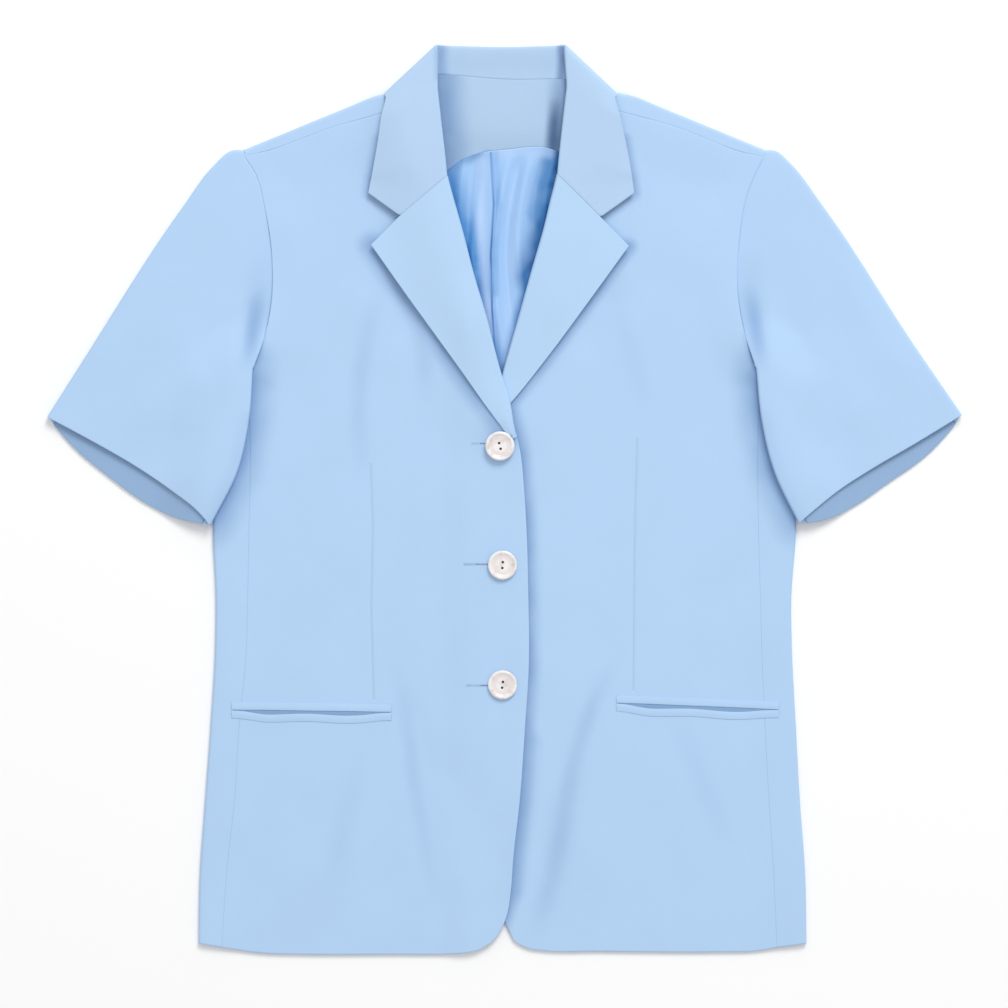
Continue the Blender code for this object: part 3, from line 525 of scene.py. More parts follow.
class Finish:
    """A node material with one Principled shader."""

    def __init__(self, name, **constants):
        self.material = bpy.data.materials.new(name)
        self.material.use_nodes = True
        self.tree = self.material.node_tree
        self.shader = self.tree.nodes["Principled BSDF"]
        for key, value in constants.items():
            self.shader.inputs[key.replace("_", " ")].default_value = value
        place = self.add("ShaderNodeTexCoord")
        axes = self.add("ShaderNodeSeparateXYZ", {}, {"Vector": place.outputs["Object"]})
        self.place = place.outputs["Object"]
        self.x, self.y, self.z = (Shade(self, axes.outputs[axis]) for axis in "XYZ")

    def add(self, kind, settings=None, sockets=None):
        node = self.tree.nodes.new(kind)
        for key, value in (settings or {}).items():
            if key == "stops":
                ramp = node.color_ramp
                while len(ramp.elements) < len(value):
                    ramp.elements.new(0.5)
                for element, (position, colour) in zip(ramp.elements, value):
                    element.position, element.color = position, colour
            else:
                setattr(node, key, value)
        for key, value in (sockets or {}).items():
            self.feed(node.inputs[key], value)
        return node

    def feed(self, target, value):
        value = value.socket if isinstance(value, Shade) else value
        if isinstance(value, bpy.types.NodeSocket):
            self.tree.links.new(value, target)
        else:
            target.default_value = value

    def maths(self, operation, *terms):
        node = self.add("ShaderNodeMath", {"operation": operation}, dict(enumerate(terms)))
        return Shade(self, node.outputs[0])

    def scaled(self, x, y, z):
        """The place on the piece, stretched along each axis."""
        node = self.add("ShaderNodeVectorMath", {"operation": "MULTIPLY"}, {0: self.place, 1: (x, y, z)})
        return node.outputs[0]

    def noise(self, vector, scale, detail=2.0, roughness=0.5):
        sockets = {"Vector": vector, "Scale": scale, "Detail": detail, "Roughness": roughness}
        return Shade(self, self.add("ShaderNodeTexNoise", {}, sockets).outputs["Fac"])

    def ramp(self, value, low, high):
        """0 below low, 1 above high, and smooth between them."""
        sockets = {"Value": value, "From Min": low, "From Max": high}
        node = self.add("ShaderNodeMapRange", {"interpolation_type": "SMOOTHSTEP", "clamp": True}, sockets)
        return Shade(self, node.outputs["Result"])

    def blend(self, share, first, second):
        """A colour between two colours."""
        node = self.add("ShaderNodeMix", {"data_type": "RGBA"})
        self.feed(node.inputs["Factor"], share)
        self.feed(node.inputs[6], first)
        self.feed(node.inputs[7], second)
        return node.outputs[2]

    def near_line(self, points, width):
        """1 on a line of points given in metres, and 0 further from it than its width."""
        nearest = None
        for (ax, ay), (bx, by) in zip(points, points[1:]):
            run_x, run_y = bx - ax, by - ay
            share = ((self.x - ax) * run_x + (self.y - ay) * run_y) / (run_x**2 + run_y**2)
            share = self.maths("MINIMUM", self.maths("MAXIMUM", share, 0.0), 1.0)
            off_x, off_y = self.x - ax - share * run_x, self.y - ay - share * run_y
            reach = self.maths("SQRT", off_x * off_x + off_y * off_y)
            nearest = reach if nearest is None else self.maths("MINIMUM", nearest, reach)
        return 1.0 - self.ramp(nearest, 0.0, width)

    def with_painted_shading(self, shown, shadings, colour, patchy=0.15):
        """The colour with soft uneven bands of painted shade and painted highlight along lines, each a multiple of
        the cloth's colour.
        """
        uneven = (1 - patchy) + 2 * patchy * self.ramp(self.noise(self.place, 34.0), 0.3, 0.7) if shadings else 1.0
        for shading in shadings:
            points = [(x * MM, (up - LENGTH / 2) * MM) for x, up in shading.points]
            painted_colour = [min(1.0, base * change) for base, change in zip(colour, shading.colour)] + [1.0]
            share = self.near_line(points, shading.width * MM) * shading.share * uneven
            if shading.fade:
                low = min(y for _, y in points) - shading.width * MM
                high = max(y for _, y in points) + shading.width * MM
                share = share * self.ramp(self.y, low, low + shading.fade * MM)
                share = share * (1 - self.ramp(self.y, high - shading.fade * MM, high))
            shown = self.blend(share, shown, painted_colour)
        return shown

    def bump(self, height, distance, strength=1.0):
        sockets = {"Height": height, "Distance": distance, "Strength": strength}
        node = self.add("ShaderNodeBump", {}, sockets)
        self.feed(self.shader.inputs["Normal"], node.outputs["Normal"])


def weave_height(finish, pitch):
    """Plain weave with uneven threads, as a height from about 0 to 1."""
    warp = finish.maths("SINE", finish.x * (2 * math.pi / pitch))
    weft = finish.maths("SINE", finish.y * (2 * math.pi / pitch))
    slub_up = finish.noise(finish.scaled(1400.0, 90.0, 300.0), 1.0)
    slub_across = finish.noise(finish.scaled(90.0, 1400.0, 300.0), 1.0)
    return 0.5 + 0.18 * (warp * weft) + 0.55 * (slub_up - 0.5) + 0.55 * (slub_across - 0.5)


def suiting(name, colour, lines=(), shadings=()):
    """Pressed plain weave with a faint mottle, and pressed lines such as darts."""
    cloth = bpy.context.scene.blazer_cloth
    finish = Finish(name, Roughness=0.82, Specular_IOR_Level=0.25, Sheen_Weight=0.12, Sheen_Roughness=0.45)
    weave = weave_height(finish, cloth.weave_pitch)
    mottle = finish.noise(finish.scaled(1.0, 1.0, 1.0), 21.0, detail=3.0)
    tone = 0.5 + 0.7 * (mottle - 0.5) + 0.22 * (weave - 0.5)
    pale = [min(1.0, channel * 1.045) for channel in colour] + [1.0]
    deep = [channel * 0.955 for channel in colour] + [1.0]
    shown = finish.blend(tone, deep, pale)
    # Painted shade and painted highlight along the given lines
    shown = finish.with_painted_shading(shown, shadings, colour)
    height = weave * 0.06
    for line in lines:
        mark = finish.near_line(line, 0.0008)
        shown = finish.blend(mark * 0.36, shown, [channel * 0.62 for channel in colour] + [1.0])
        height = height - finish.near_line(line, 0.0022) * 0.35
    finish.feed(finish.shader.inputs["Base Color"], shown)
    finish.bump(height, 0.0009)
    return finish.material


def satin():
    """Lining: a smooth satin, more saturated than the cloth."""
    cloth = bpy.context.scene.blazer_cloth
    finish = Finish("satin", Roughness=0.38, Specular_IOR_Level=0.5, Sheen_Weight=0.15, Sheen_Roughness=0.3)
    grain = finish.noise(finish.scaled(900.0, 40.0, 40.0), 1.0)
    colour = list(cloth.lining_colour)
    deep = [channel * 0.94 for channel in colour] + [1.0]
    pale = [min(1.0, channel * 1.04) for channel in colour] + [1.0]
    # Painted shade beside the rolls and the pleat, and painted highlights on the satin
    shown = finish.with_painted_shading(finish.blend(grain, deep, pale), LINING_SHADE_AND_HIGHLIGHTS, colour, 0.3)
    finish.feed(finish.shader.inputs["Base Color"], shown)
    finish.bump(grain, 0.00012)
    return finish.material


def pearl(number, centre):
    """Mother-of-pearl: soft bands of pink, grey and cream under a clear polish."""
    buttons = bpy.context.scene.blazer_buttons
    finish = Finish(f"pearl_{number}", Roughness=0.16, Specular_IOR_Level=0.6, Coat_Weight=0.5, Coat_Roughness=0.06)
    turn = 0.7 + 1.1 * number
    across = (finish.x - centre[0]) * math.cos(turn) + (finish.y - centre[1]) * math.sin(turn)
    cloud = finish.noise(finish.scaled(140.0, 140.0, 60.0), 1.0, detail=4.0)
    bands = finish.maths("SINE", across * 620.0 + cloud * 9.0 + number) * 0.5 + 0.5
    white, pink, grey = (list(c) + [1.0] for c in (buttons.pearl, buttons.pearl_pink, buttons.pearl_grey))
    shown = finish.blend(finish.ramp(bands, 0.55, 1.0) * 0.6, white, pink)
    off_x, off_y = finish.x - centre[0], finish.y - centre[1]
    reach = finish.maths("SQRT", off_x * off_x + off_y * off_y) + 0.0012 * (cloud - 0.5)
    ring = finish.ramp(reach, 0.0036, 0.0062) * (1 - finish.ramp(reach, 0.0066, 0.0084))
    shown = finish.blend(ring * 0.7, shown, pink)
    shown = finish.blend(finish.ramp(cloud, 0.56, 0.72) * 0.7, shown, grey)
    finish.feed(finish.shader.inputs["Base Color"], shown)
    finish.bump(bands * 0.3 + cloud, 0.00004)
    return finish.material


def thread(name, colour):
    """Sewing thread with a twist."""
    finish = Finish(name, Roughness=0.6, Sheen_Weight=0.2)
    twist = finish.maths("SINE", (finish.x + finish.y) * 5200.0) * 0.5 + 0.5
    deep = [channel * 0.78 for channel in colour] + [1.0]
    finish.feed(finish.shader.inputs["Base Color"], finish.blend(twist, deep, list(colour) + [1.0]))
    finish.bump(twist, 0.0001)
    return finish.material


# Making pieces -------------------------------------------------------------------------------------


def shell(name, grids, sign, look, nodes=(), wall=WALL, levels=1):
    """A wall of cloth about the middle surface given by grids of (out, up, z) points."""
    mesh = bpy.data.meshes.new(name)
    build = bmesh.new()
    known = {}

    def corner(point):
        key = tuple(round(float(value), 3) for value in point)
        if key not in known:
            out, up, z = point
            z = BACK_Z + (z - BACK_Z) * fullness(out, up)
            known[key] = build.verts.new((sign * out * MM, (up - LENGTH / 2) * MM, z * MM))
        return known[key]

    for grid in grids:
        for lower, upper in zip(grid, grid[1:]):
            for col in range(len(lower) - 1):
                spots = (lower[col], lower[col + 1], upper[col + 1], upper[col])
                corners = list(dict.fromkeys(corner(spot) for spot in spots))
                if len(corners) > 2:
                    build.faces.new(corners)
    bmesh.ops.recalc_face_normals(build, faces=build.faces)
    build.to_mesh(mesh)
    build.free()
    mesh.shade_smooth()
    obj = bpy.data.objects.new(name, mesh)
    bpy.context.collection.objects.link(obj)
    obj.data.materials.append(look)
    thicken = obj.modifiers.new("wall", "SOLIDIFY")
    thicken.thickness = wall * MM
    thicken.offset = 0
    thicken.use_even_offset = True
    thicken.use_rim = True
    if levels:
        soften = obj.modifiers.new("soft edges", "SUBSURF")
        soften.levels = soften.render_levels = levels
    dress(obj, nodes)
    return obj


def dress(obj, nodes=()):
    """The piece rides on the blazer's one body and stands for its solids."""
    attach(obj, "root")
    if nodes:
        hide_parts(*nodes)
    return obj


def turn_angles(steps):
    return [math.pi * step / steps for step in range(1, steps)]


def back_hem(out):
    return 8.5 + BACK_HEM_RISE * (1 - (out / 230) ** 2)


def back_seam(side, up):
    return out_at(LINES[side.name].fold, up) - BACK_SEAM_INSET


def make_back(look):
    """One panel on the fold, whose shoulders pass round to the front."""
    shoulder, neck = 16, 9
    below, above = shares(44, 0.006), shares(14, 0.02, low=False)
    vs = np.concatenate([below * 0.66, 0.66 + above[1:] * 0.34])
    edges, starts = {}, {}
    normal = unit(np.array([0.36, 0.93]))
    for side in SIDES:
        lines = LINES[side.name]
        foot, head = side.levels[0].up, side.levels[-1].up
        seam = []
        for v in below:
            level = foot + v * (head - foot)
            out = back_seam(side, level)
            seam.append((out - SEAM, level + (1 - v) * (back_hem(out) - foot)))
        fold = curve(SHOULDER_FOLD[:-1] + [NECK_TURN[side.name]])
        places = shares(shoulder, 0.01)
        strips = []
        for point, seam_point in zip(along(fold, places), along(lines.shoulder, places)):
            high = front_height(side, *seam_point)
            low = back_height(*(point - normal * 2 * WALL))
            radius = (high - low) / 2
            strips.append((point - normal * (WALL / 2 + radius), seam_point, low, high))
        starts[side.name] = strips
        arm = along(lines.armhole, above)[1:] - np.array([SEAM, 0])
        arm[-1] = strips[0][0]
        edges[side.name] = joined(seam, arm)
    top_over = [strip[0] for strip in starts["over"]]
    top_under = [strip[0] for strip in starts["under"]]
    outs = np.linspace(-top_over[-1][0], top_under[-1][0], neck + 1)[1:-1]
    width = top_over[-1][0] + top_under[-1][0]
    middle = [(out, 657.5 + 2.5 * math.sin(math.pi * (out + top_over[-1][0]) / width)) for out in outs]
    top = np.array([(-out, up) for out, up in top_over] + middle + [tuple(p) for p in top_under[::-1]])
    left, right = edges["over"] * np.array([-1, 1]), edges["under"]
    us = (top[:, 0] - top[0, 0]) / (top[-1, 0] - top[0, 0])
    hem_outs = left[0][0] + (right[0][0] - left[0][0]) * us
    bottom = np.array([(out, back_hem(out)) for out in hem_outs])
    bottom[0], bottom[-1] = left[0], right[0]
    panel = [
        [(out, up, back_height(out, up)) for out, up in row]
        for row in patch(left, right, bottom, top, us, vs)
    ]
    for place, strip in enumerate(starts["over"]):
        panel[-1][place] = (-strip[0][0], strip[0][1], strip[2])
    for place, strip in enumerate(starts["under"]):
        panel[-1][-1 - place] = (strip[0][0], strip[0][1], strip[2])
    grids = [panel]
    for side in SIDES:
        grid = []
        for centre, seam_point, low, high in starts[side.name]:
            radius, middle_z = (high - low) / 2, (low + high) / 2
            column = [(centre[0], centre[1], low)]
            for angle in turn_angles(7):
                spot = centre + normal * radius * math.sin(angle)
                column.append((spot[0], spot[1], middle_z - radius * math.cos(angle)))
            end = seam_point + normal * SEAM
            for share in (0, 0.25, 0.5, 0.75, 0.93, 1):
                spot = centre + (end - centre) * share
                column.append((spot[0], spot[1], high))
            grid.append([(side.sign * out, up, z) for out, up, z in column])
        grids.append(grid)
    shell("back_panel", grids, 1, look, ["back"])


def make_side(side, look):
    """Side panel, from its seam with the front round the side to its seam with the back."""
    lines = LINES[side.name]
    foot, head = side.levels[0].up, side.levels[-1].up
    places = shares(90, 0.003)
    rows = []
    for v, seam in zip(places, along(lines.seam, places)):
        level = foot + v * (head - foot)
        start = out_at(lines.fold, level) - fold_inset()
        row = []
        for share in (0, 0.03, 0.12, 0.3, 0.5, 0.75, 1):
            out = seam[0] + SEAM + (start - seam[0] - SEAM) * share
            up = seam[1] + (level - seam[1]) * share
            row.append((out, up, front_height(side, out, up) + creases_at(side.creases, out, up)))
        for angle in turn_angles(8):
            reach, down = SIDE_RADIUS * math.sin(angle), SIDE_RADIUS * math.cos(angle)
            row.append((start + reach, level, BACK_Z + SIDE_RADIUS + down))
        inner = back_seam(side, level) + SEAM
        for share in (0, 0.25, 0.5, 0.75, 0.95, 1):
            out = start + (inner - start) * share
            row.append((out, level + (1 - v) * (back_hem(out) - foot), BACK_Z))
        rows.append(row)
    shell("side_panel_" + side.name, [rows], side.sign, look, ["side_" + side.name])


def make_front(side, look):
    lines = LINES[side.name]
    below, above = shares(92, 0.003, high=False), shares(48, 0.006, low=False)[1:]
    vs = np.concatenate([below * 0.65, 0.65 + above * 0.35])
    us = shares(46, 0.0045)
    left = joined(along(lines.seam, below), along(lines.armhole, above))
    left[:, 0] -= SEAM
    roll = lines.roll[::-1]
    roll = roll[roll[:, 1] > side.front_edge[-1][1] + 2] + np.array([ROLL_INSET, 0])
    inner = joined(roll[:-8], lines.neck[::-1] + np.array([SEAM, 0]))
    right = joined(along(joined(lines.front_edge, inner[:1]), below), along(inner, above))
    bottom = along(lines.hem, us)
    top = along(lines.shoulder, us) - np.array([0, SEAM])
    bottom[0], bottom[-1], top[0], top[-1] = left[0], right[0], left[-1], right[-1]
    rows = [
        [(out, up, front_height(side, out, up) + creases_at(side.creases, out, up)) for out, up in row]
        for row in patch(left, right, bottom, top, us, vs)
    ]
    shell("front_panel_" + side.name, [rows], side.sign, look, ["front_" + side.name])


def make_lapel(side, look):
    """Turned lapel: it lies on the front, and rolls round the front's inner edge."""
    lines = LINES[side.name]
    places = shares(56, 0.006)
    notch = np.array(NOTCH[side.name])
    gorge = np.array(side.collar[0].roll) + np.array([(WALL + LEAF_RISE) / 2, 0])
    steps = list(np.linspace(0, 1, 12)) + list(np.linspace(1, 3, 22)[1:])
    steps = sorted(steps + [0.02, 0.06])
    rows = []
    for share, roll, outer in zip(places, along(lines.roll, places), along(curve(side.lapel_edge), places)):
        into = unit(outer - roll)
        start = roll + into * (WALL / 2 + ROLL_RADIUS)
        knee = outer + (start - outer) * KNEE
        if share < 1 / 11:
            held = 1 - 11 * share
            knee = knee + (notch - np.array([0, SEAM]) - knee) * held
            start = start + (gorge - np.array([0, SEAM]) - start) * held
        row = []
        for place in steps:
            spot = outer + (knee - outer) * place if place <= 1 else knee + (start - knee) * (place - 1) / 2
            row.append((spot[0], spot[1], leaf_height(side, spot[0], spot[1], place / 3)))
        middle = row[-1][2] - ROLL_RADIUS
        sweep = math.radians(180 - 75 * smooth((share - 0.55) / 0.4))
        for step in range(1, 10):
            angle = sweep * step / 9
            spot = start - into * ROLL_RADIUS * math.sin(angle)
            row.append((spot[0], spot[1], middle + ROLL_RADIUS * math.cos(angle)))
        rows.append(row)
    shell("lapel_turned_" + side.name, [rows], side.sign, look, ["lapel_" + side.name])


# Collar, facing and lining ------------------------------------------------------------------------


def across(line):
    """Horizontal direction square to a line, away from the body."""
    square = unit(np.array([-line[1], line[0]]))
    return square if square[1] > 0 else -square


def leaf_fold(side, turn):
    """Axis of the leaf's fold over the shoulder: its end at the roll, at the edge, and across."""
    corner, outer = np.array(COLLAR_CORNER[side.name]), np.array(LEAF_FOLD[side.name])
    outward = across(outer - corner)
    slide = CORNER_SLIDE[0] + (CORNER_SLIDE[1] - CORNER_SLIDE[0]) * turn / math.pi
    inset = outward * (WALL + NECK_Z + LEAF_RISE - BACK_Z) / 2
    ahead = unit(outer - corner)
    return corner - inset + ahead * slide, outer - inset + ahead * 2.4 * math.cos(turn), outward


def stand_seam(side, share):
    """Point of the seam between the stand and the facing, at a share of the way to a corner."""
    out = leaf_fold(side, math.pi)[0][0] * share * NECK_SPREAD
    return np.array([out, up_at(curve(STAND_SEAM), side.sign * out)])


LEAF_STEPS = sorted(list(np.linspace(0, 1, 10)) + [0.02, 0.06])
ROLL_STEPS = np.linspace(0, 1, 16)[1:]


def leaf_points(outer_end, leaf_end, knee=None):
    """Points of the leaf from its edge to the roll; a given knee holds the notch."""
    if knee is None:
        knee = outer_end + (leaf_end - outer_end) * KNEE
    points = [outer_end + (knee - outer_end) * part for part in LEAF_STEPS]
    return points + [knee + (leaf_end - knee) * part for part in ROLL_STEPS]


def section(leaf, stand_start, stand_end, bulge):
    """Leaf, roll and stand in one row: the roll is half a circle between the two."""
    middle, half = (leaf[-1] + stand_start) / 2, (leaf[-1] - stand_start) / 2
    row = list(leaf)
    for angle in turn_angles(8):
        side_step = np.array([*bulge, 0]) * np.linalg.norm(half) * math.sin(angle)
        row.append(middle + half * math.cos(angle) + side_step)
    stand = [stand_start + (stand_end - stand_start) * part for part in (0, 0.25, 0.5, 0.75, 0.95, 1)]
    return [tuple(spot) for spot in row + stand]


def front_section(side, share):
    """The collar on the front: both of its layers are level there."""
    roll = along(curve([station.roll for station in side.collar]), [share])[0]
    outer = along(curve([station.outer for station in side.collar]), [share])[0]
    start = roll + np.array([(WALL + LEAF_RISE) / 2, 0])
    outer_end, leaf_end = np.array([*outer, 0]), np.array([*start, 0])
    knee = outer_end + (leaf_end - outer_end) * KNEE
    held = max(0.0, 1 - share / 0.24)
    knee = knee + (np.array([*NOTCH[side.name], 0]) + np.array([0, SEAM, 0]) - knee) * held
    leaf = leaf_points(outer_end, leaf_end, knee)
    for place, spot in enumerate(leaf):
        reach = 1 - np.linalg.norm(spot[:2] - start) / np.linalg.norm(outer - start)
        spot[2] = leaf_height(side, spot[0], spot[1], min(max(reach, 0), 1))
    stand_start = leaf[-1] - np.array([0, 0, LEAF_RISE])
    first, last = side.collar[0].roll[1], side.collar[-1].roll[1]
    up = roll[1] - STAND_SLANT * (roll[1] - first) / (last - first)
    neck = out_at(LINES[side.name].neck, up) - NECK_SEAM_SPACE
    return section(leaf, stand_start, np.array([neck, up, NECK_Z]), (-1, 0))


def turned_section(side, turn):
    """The collar where it passes round the shoulder fold, from the front to the back."""
    hub, edge, leaf_out = leaf_fold(side, turn)
    top = NECK_Z + LEAF_RISE
    leaf_radius = (top - BACK_Z) / 2
    neck = np.array(NECK_TURN[side.name]) - np.array(NECK_CLEARANCE)
    stand_out, stand_radius = across(neck - hub), (NECK_Z - COLLAR_STAND_Z) / 2
    stand_hub = hub + leaf_out * (leaf_radius - LEAF_RISE - stand_radius)

    def swing(flat, outward, radius, middle):
        flat = flat + outward * radius * math.sin(turn)
        return np.array([*flat, middle + radius * math.cos(turn)])

    middle, stand_middle = (top + BACK_Z) / 2, (NECK_Z + COLLAR_STAND_Z) / 2
    leaf = leaf_points(swing(edge, leaf_out, leaf_radius, middle), swing(hub, leaf_out, leaf_radius, middle))
    stand_start = swing(stand_hub, leaf_out, stand_radius, stand_middle)
    stand_end = swing(neck - stand_out * stand_radius, stand_out, stand_radius, stand_middle)
    return section(leaf, stand_start, stand_end, (-math.cos(turn / 2), math.sin(turn / 2)))


def back_section(side, share):
    """The collar behind the neck: the stand lies on top, and the leaf under the back."""
    hub, edge, _ = leaf_fold(side, math.pi)
    top = hub[1] - COLLAR_BACK_DIP * (1 - share)
    bottom = LENGTH - FALL_DEPTH + (edge[1] - LENGTH + FALL_DEPTH) * share**2
    leaf = leaf_points(np.array([edge[0] * share, bottom, BACK_Z]), np.array([hub[0] * share, top, BACK_Z]))
    seam = stand_seam(side, share) + np.array([0, SEAM])
    start = np.array([hub[0] * share, top, COLLAR_STAND_Z])
    return section(leaf, start, np.array([*seam, COLLAR_STAND_Z]), (0, 1))


def make_collar(look):
    """One collar: its leaf passes over the shoulders to the back, its stand shows inside."""
    rows = []
    for side in SIDES:
        half = [front_section(side, share) for share in shares(18, 0.02, high=False)]
        half += [turned_section(side, turn) for turn in np.linspace(0, math.pi, 15)]
        ends = (0.93, 0.86, 0.75, 0.6, 0.45, 0.3, 0.15)
        half += [back_section(side, share) for share in ends]
        half = [[(side.sign * out, up, z) for out, up, z in row] for row in half]
        rows = rows + half if side is OVER else rows + half[::-1]
    shell("collar_turned", [rows], 1, look, ["collar"])


def make_facing(look):
    """Back neck facing, between the collar and the lining."""
    places = np.linspace(0.93, 0.12, 9)
    upper = [stand_seam(OVER, share) * (-1, 1) for share in places]
    upper += [stand_seam(UNDER, share) for share in places[::-1]]
    upper = np.array(upper) - np.array([0, SEAM])
    us = (upper[:, 0] - upper[0, 0]) / (upper[-1, 0] - upper[0, 0])
    lower = along(curve(FACING_EDGE), us) + np.array([0, SEAM])
    rows = []
    for v in shares(14, 0.02):
        spots = lower + (upper - lower) * v
        lifted = 0.35 * math.sin(math.pi * v)
        rows.append([(out, up, back_height(out, up) + THIN_RISE + lifted) for out, up in spots])
    shell("neck_facing_cloth", [rows], 1, look, ["neck_facing"], wall=THIN)


GATHERS = [
    Crease((-31, 600), (-24, 520), 3.4, 1.04),
    Crease((-23, 602), (-18, 470), 2.8, -0.76),
    Crease((-16, 590), (-14, 430), 2.6, 0.66),
    Crease((4, 606), (0, 450), 3.2, 1.14),
    Crease((13, 607), (7, 470), 3.0, -0.95),
    Crease((21, 606), (13, 500), 3.6, 1.04),
    Crease((31, 604), (22, 540), 3.2, -0.76),
    Crease((38, 602), (30, 556), 3.0, 0.76),
]


def lining_height(out, up, pleat_out, beside):
    """The lining's left half folds over the right at the pleat, with soft gathers beside it."""
    free = smooth((up - 440) / 50)
    lifted = 1.25 * smooth(1 + (out - pleat_out) / 14) if beside == "left" else 0.0
    waves = creases_at(GATHERS, out, up) * smooth((605 - up) / 14 + 0.25)
    return back_height(out, up) + THIN_RISE + free * lifted + waves * (0.35 + 0.65 * free)


def make_lining(look):
    pleat, facing = curve(PLEAT), curve(FACING_EDGE)
    over, under = LINES["over"].roll, LINES["under"].roll
    rows = []
    for v in shares(56, 0.01):
        level = 424 + v * (603 - 424)
        left = -out_at(over, level) - LINING_MARGIN
        right = max(out_at(under, level), 0) + LINING_MARGIN
        fold = out_at(pleat, level)
        row = []
        for share in shares(18, 0.02):
            row.append((left + (fold - left) * share, "left"))
        for share in shares(28, 0.02):
            row.append((fold + 0.8 + (right - fold - 0.8) * share, "right"))
        points = []
        for out, beside in row:
            up = 424 + v * (up_at(facing, out) - SEAM - 424)
            points.append((out, up, lining_height(out, up, fold, beside)))
        rows.append(points)
    shell("lining_satin", [rows], 1, look, ["lining_back"], wall=THIN)


# Sleeves ------------------------------------------------------------------------------------------

ARMHOLE_STEPS = 44
SLEEVE_SPLIT = 20


def sleeve_edge(line, radius, way, vs, folded):
    """Edge of a sleeve layer: inside its fold where it has one, else at the seam."""
    points = along(line, vs)
    ahead = along(line, np.clip(vs + 0.01, 0, 1)) - along(line, np.clip(vs - 0.01, 0, 1))
    normals = [unit(np.array([-step[1], step[0]])) * way for step in ahead]
    insets = [WALL / 2 + radius if fold else 2 * SEAM for fold in folded]
    return np.array([p - n * inset for p, n, inset in zip(points, normals, insets)]), normals


def sleeve_layers(side):
    """The two layers of a flattened sleeve, with what its folds need."""
    armhole = along(LINES[side.name].armhole, np.linspace(0, 1, ARMHOLE_STEPS + 1))
    low_line = joined(armhole[SLEEVE_SPLIT::-1][:-1], curve(side.sleeve_low))
    run = np.concatenate([[0], np.cumsum(np.linalg.norm(np.diff(low_line, axis=0), axis=1))])
    opening = run[SLEEVE_SPLIT] / run[-1]
    body = opening + (1 - opening) * shares(34, 0.007, low=False)
    vs = np.concatenate([run[:SLEEVE_SPLIT] / run[-1], body])
    folded = vs > opening - 1e-6
    top_edge, top_normals = sleeve_edge(curve(side.sleeve_top), SIDE_RADIUS, 1, vs, vs > -1)
    low_edge, low_normals = sleeve_edge(low_line, LOW_SLEEVE_RADIUS, -1, vs, folded)
    places = np.linspace(0, 1, ARMHOLE_STEPS - SLEEVE_SPLIT + 1)
    layers = []
    for cuff in (side.cuff_front, side.cuff_back):
        start = armhole[:SLEEVE_SPLIT - 1:-1] + np.array([2 * SEAM, 0])
        end = along(curve(cuff), places)
        start[0], start[-1], end[0], end[-1] = top_edge[0], low_edge[0], top_edge[-1], low_edge[-1]
        layers.append(patch(start, end, top_edge, low_edge, vs, places))
    return places, layers, top_normals, low_normals


def make_sleeve(side, look, inside_shade_look):
    """A short sleeve as one flattened tube, with its turned hem showing inside the cuff."""
    places, layers, top_normals, low_normals = sleeve_layers(side)
    over, beneath = [], []
    for share, front, behind in zip(places, *layers):
        radius = SIDE_RADIUS + (LOW_SLEEVE_RADIUS - SIDE_RADIUS) * smooth(share)
        inward = smooth(share / 0.12) * smooth((1 - share) / 0.12)
        over.append([
            (*spot, BACK_Z + sleeve_lift(side, *spot) + 2 * radius
             - 1.7 * inward * (1 - smooth(math.dist(spot, front[0]) / 17)) * (1 - smooth((front[0][1] - 455) / 75))
             + inward * creases_at(side.sleeve_creases, *spot))
            for spot in front
        ])
        beneath.append([(*spot, BACK_Z + sleeve_lift(side, *spot)) for spot in behind])
    grids = [over, beneath]
    folds = ((0, top_normals, SIDE_RADIUS, 0), (-1, low_normals, LOW_SLEEVE_RADIUS, SLEEVE_SPLIT))
    for share, normals, radius, first in folds:
        turned = []
        start = max(first - 1, 0)
        for place, (upper, lower, normal) in enumerate(
            zip(over[share][start:], beneath[share][start:], normals[start:]), start
        ):
            hub, middle, half = np.array(upper[:2]), (upper[2] + lower[2]) / 2, (upper[2] - lower[2]) / 2
            reach = 0 if place < first else radius
            arc = [upper]
            for angle in turn_angles(7):
                spot = hub + normal * reach * math.sin(angle)
                arc.append((spot[0], spot[1], middle + half * math.cos(angle)))
            turned.append(arc + [lower])
        grids.append(turned)
    shell("sleeve_tube_" + side.name, grids, side.sign, look, ["sleeve_" + side.name])
    # The turning inside the cuff takes the cloth's reverse, darkened with painted shade
    hem = [row[-13:] for row in beneath[1:-1]]
    hem = [[(out, up, z + WALL / 2 + 0.32) for out, up, z in row] for row in hem]
    shell("cuff_turning_" + side.name, [hem], side.sign, inside_shade_look, wall=0.5)


# Pockets, buttonholes and buttons ------------------------------------------------------------------


def pocket_point(side, share, away):
    start, end = (np.array(point) for point in side.pocket)
    out, up = start + (end - start) * share
    return out, up + away


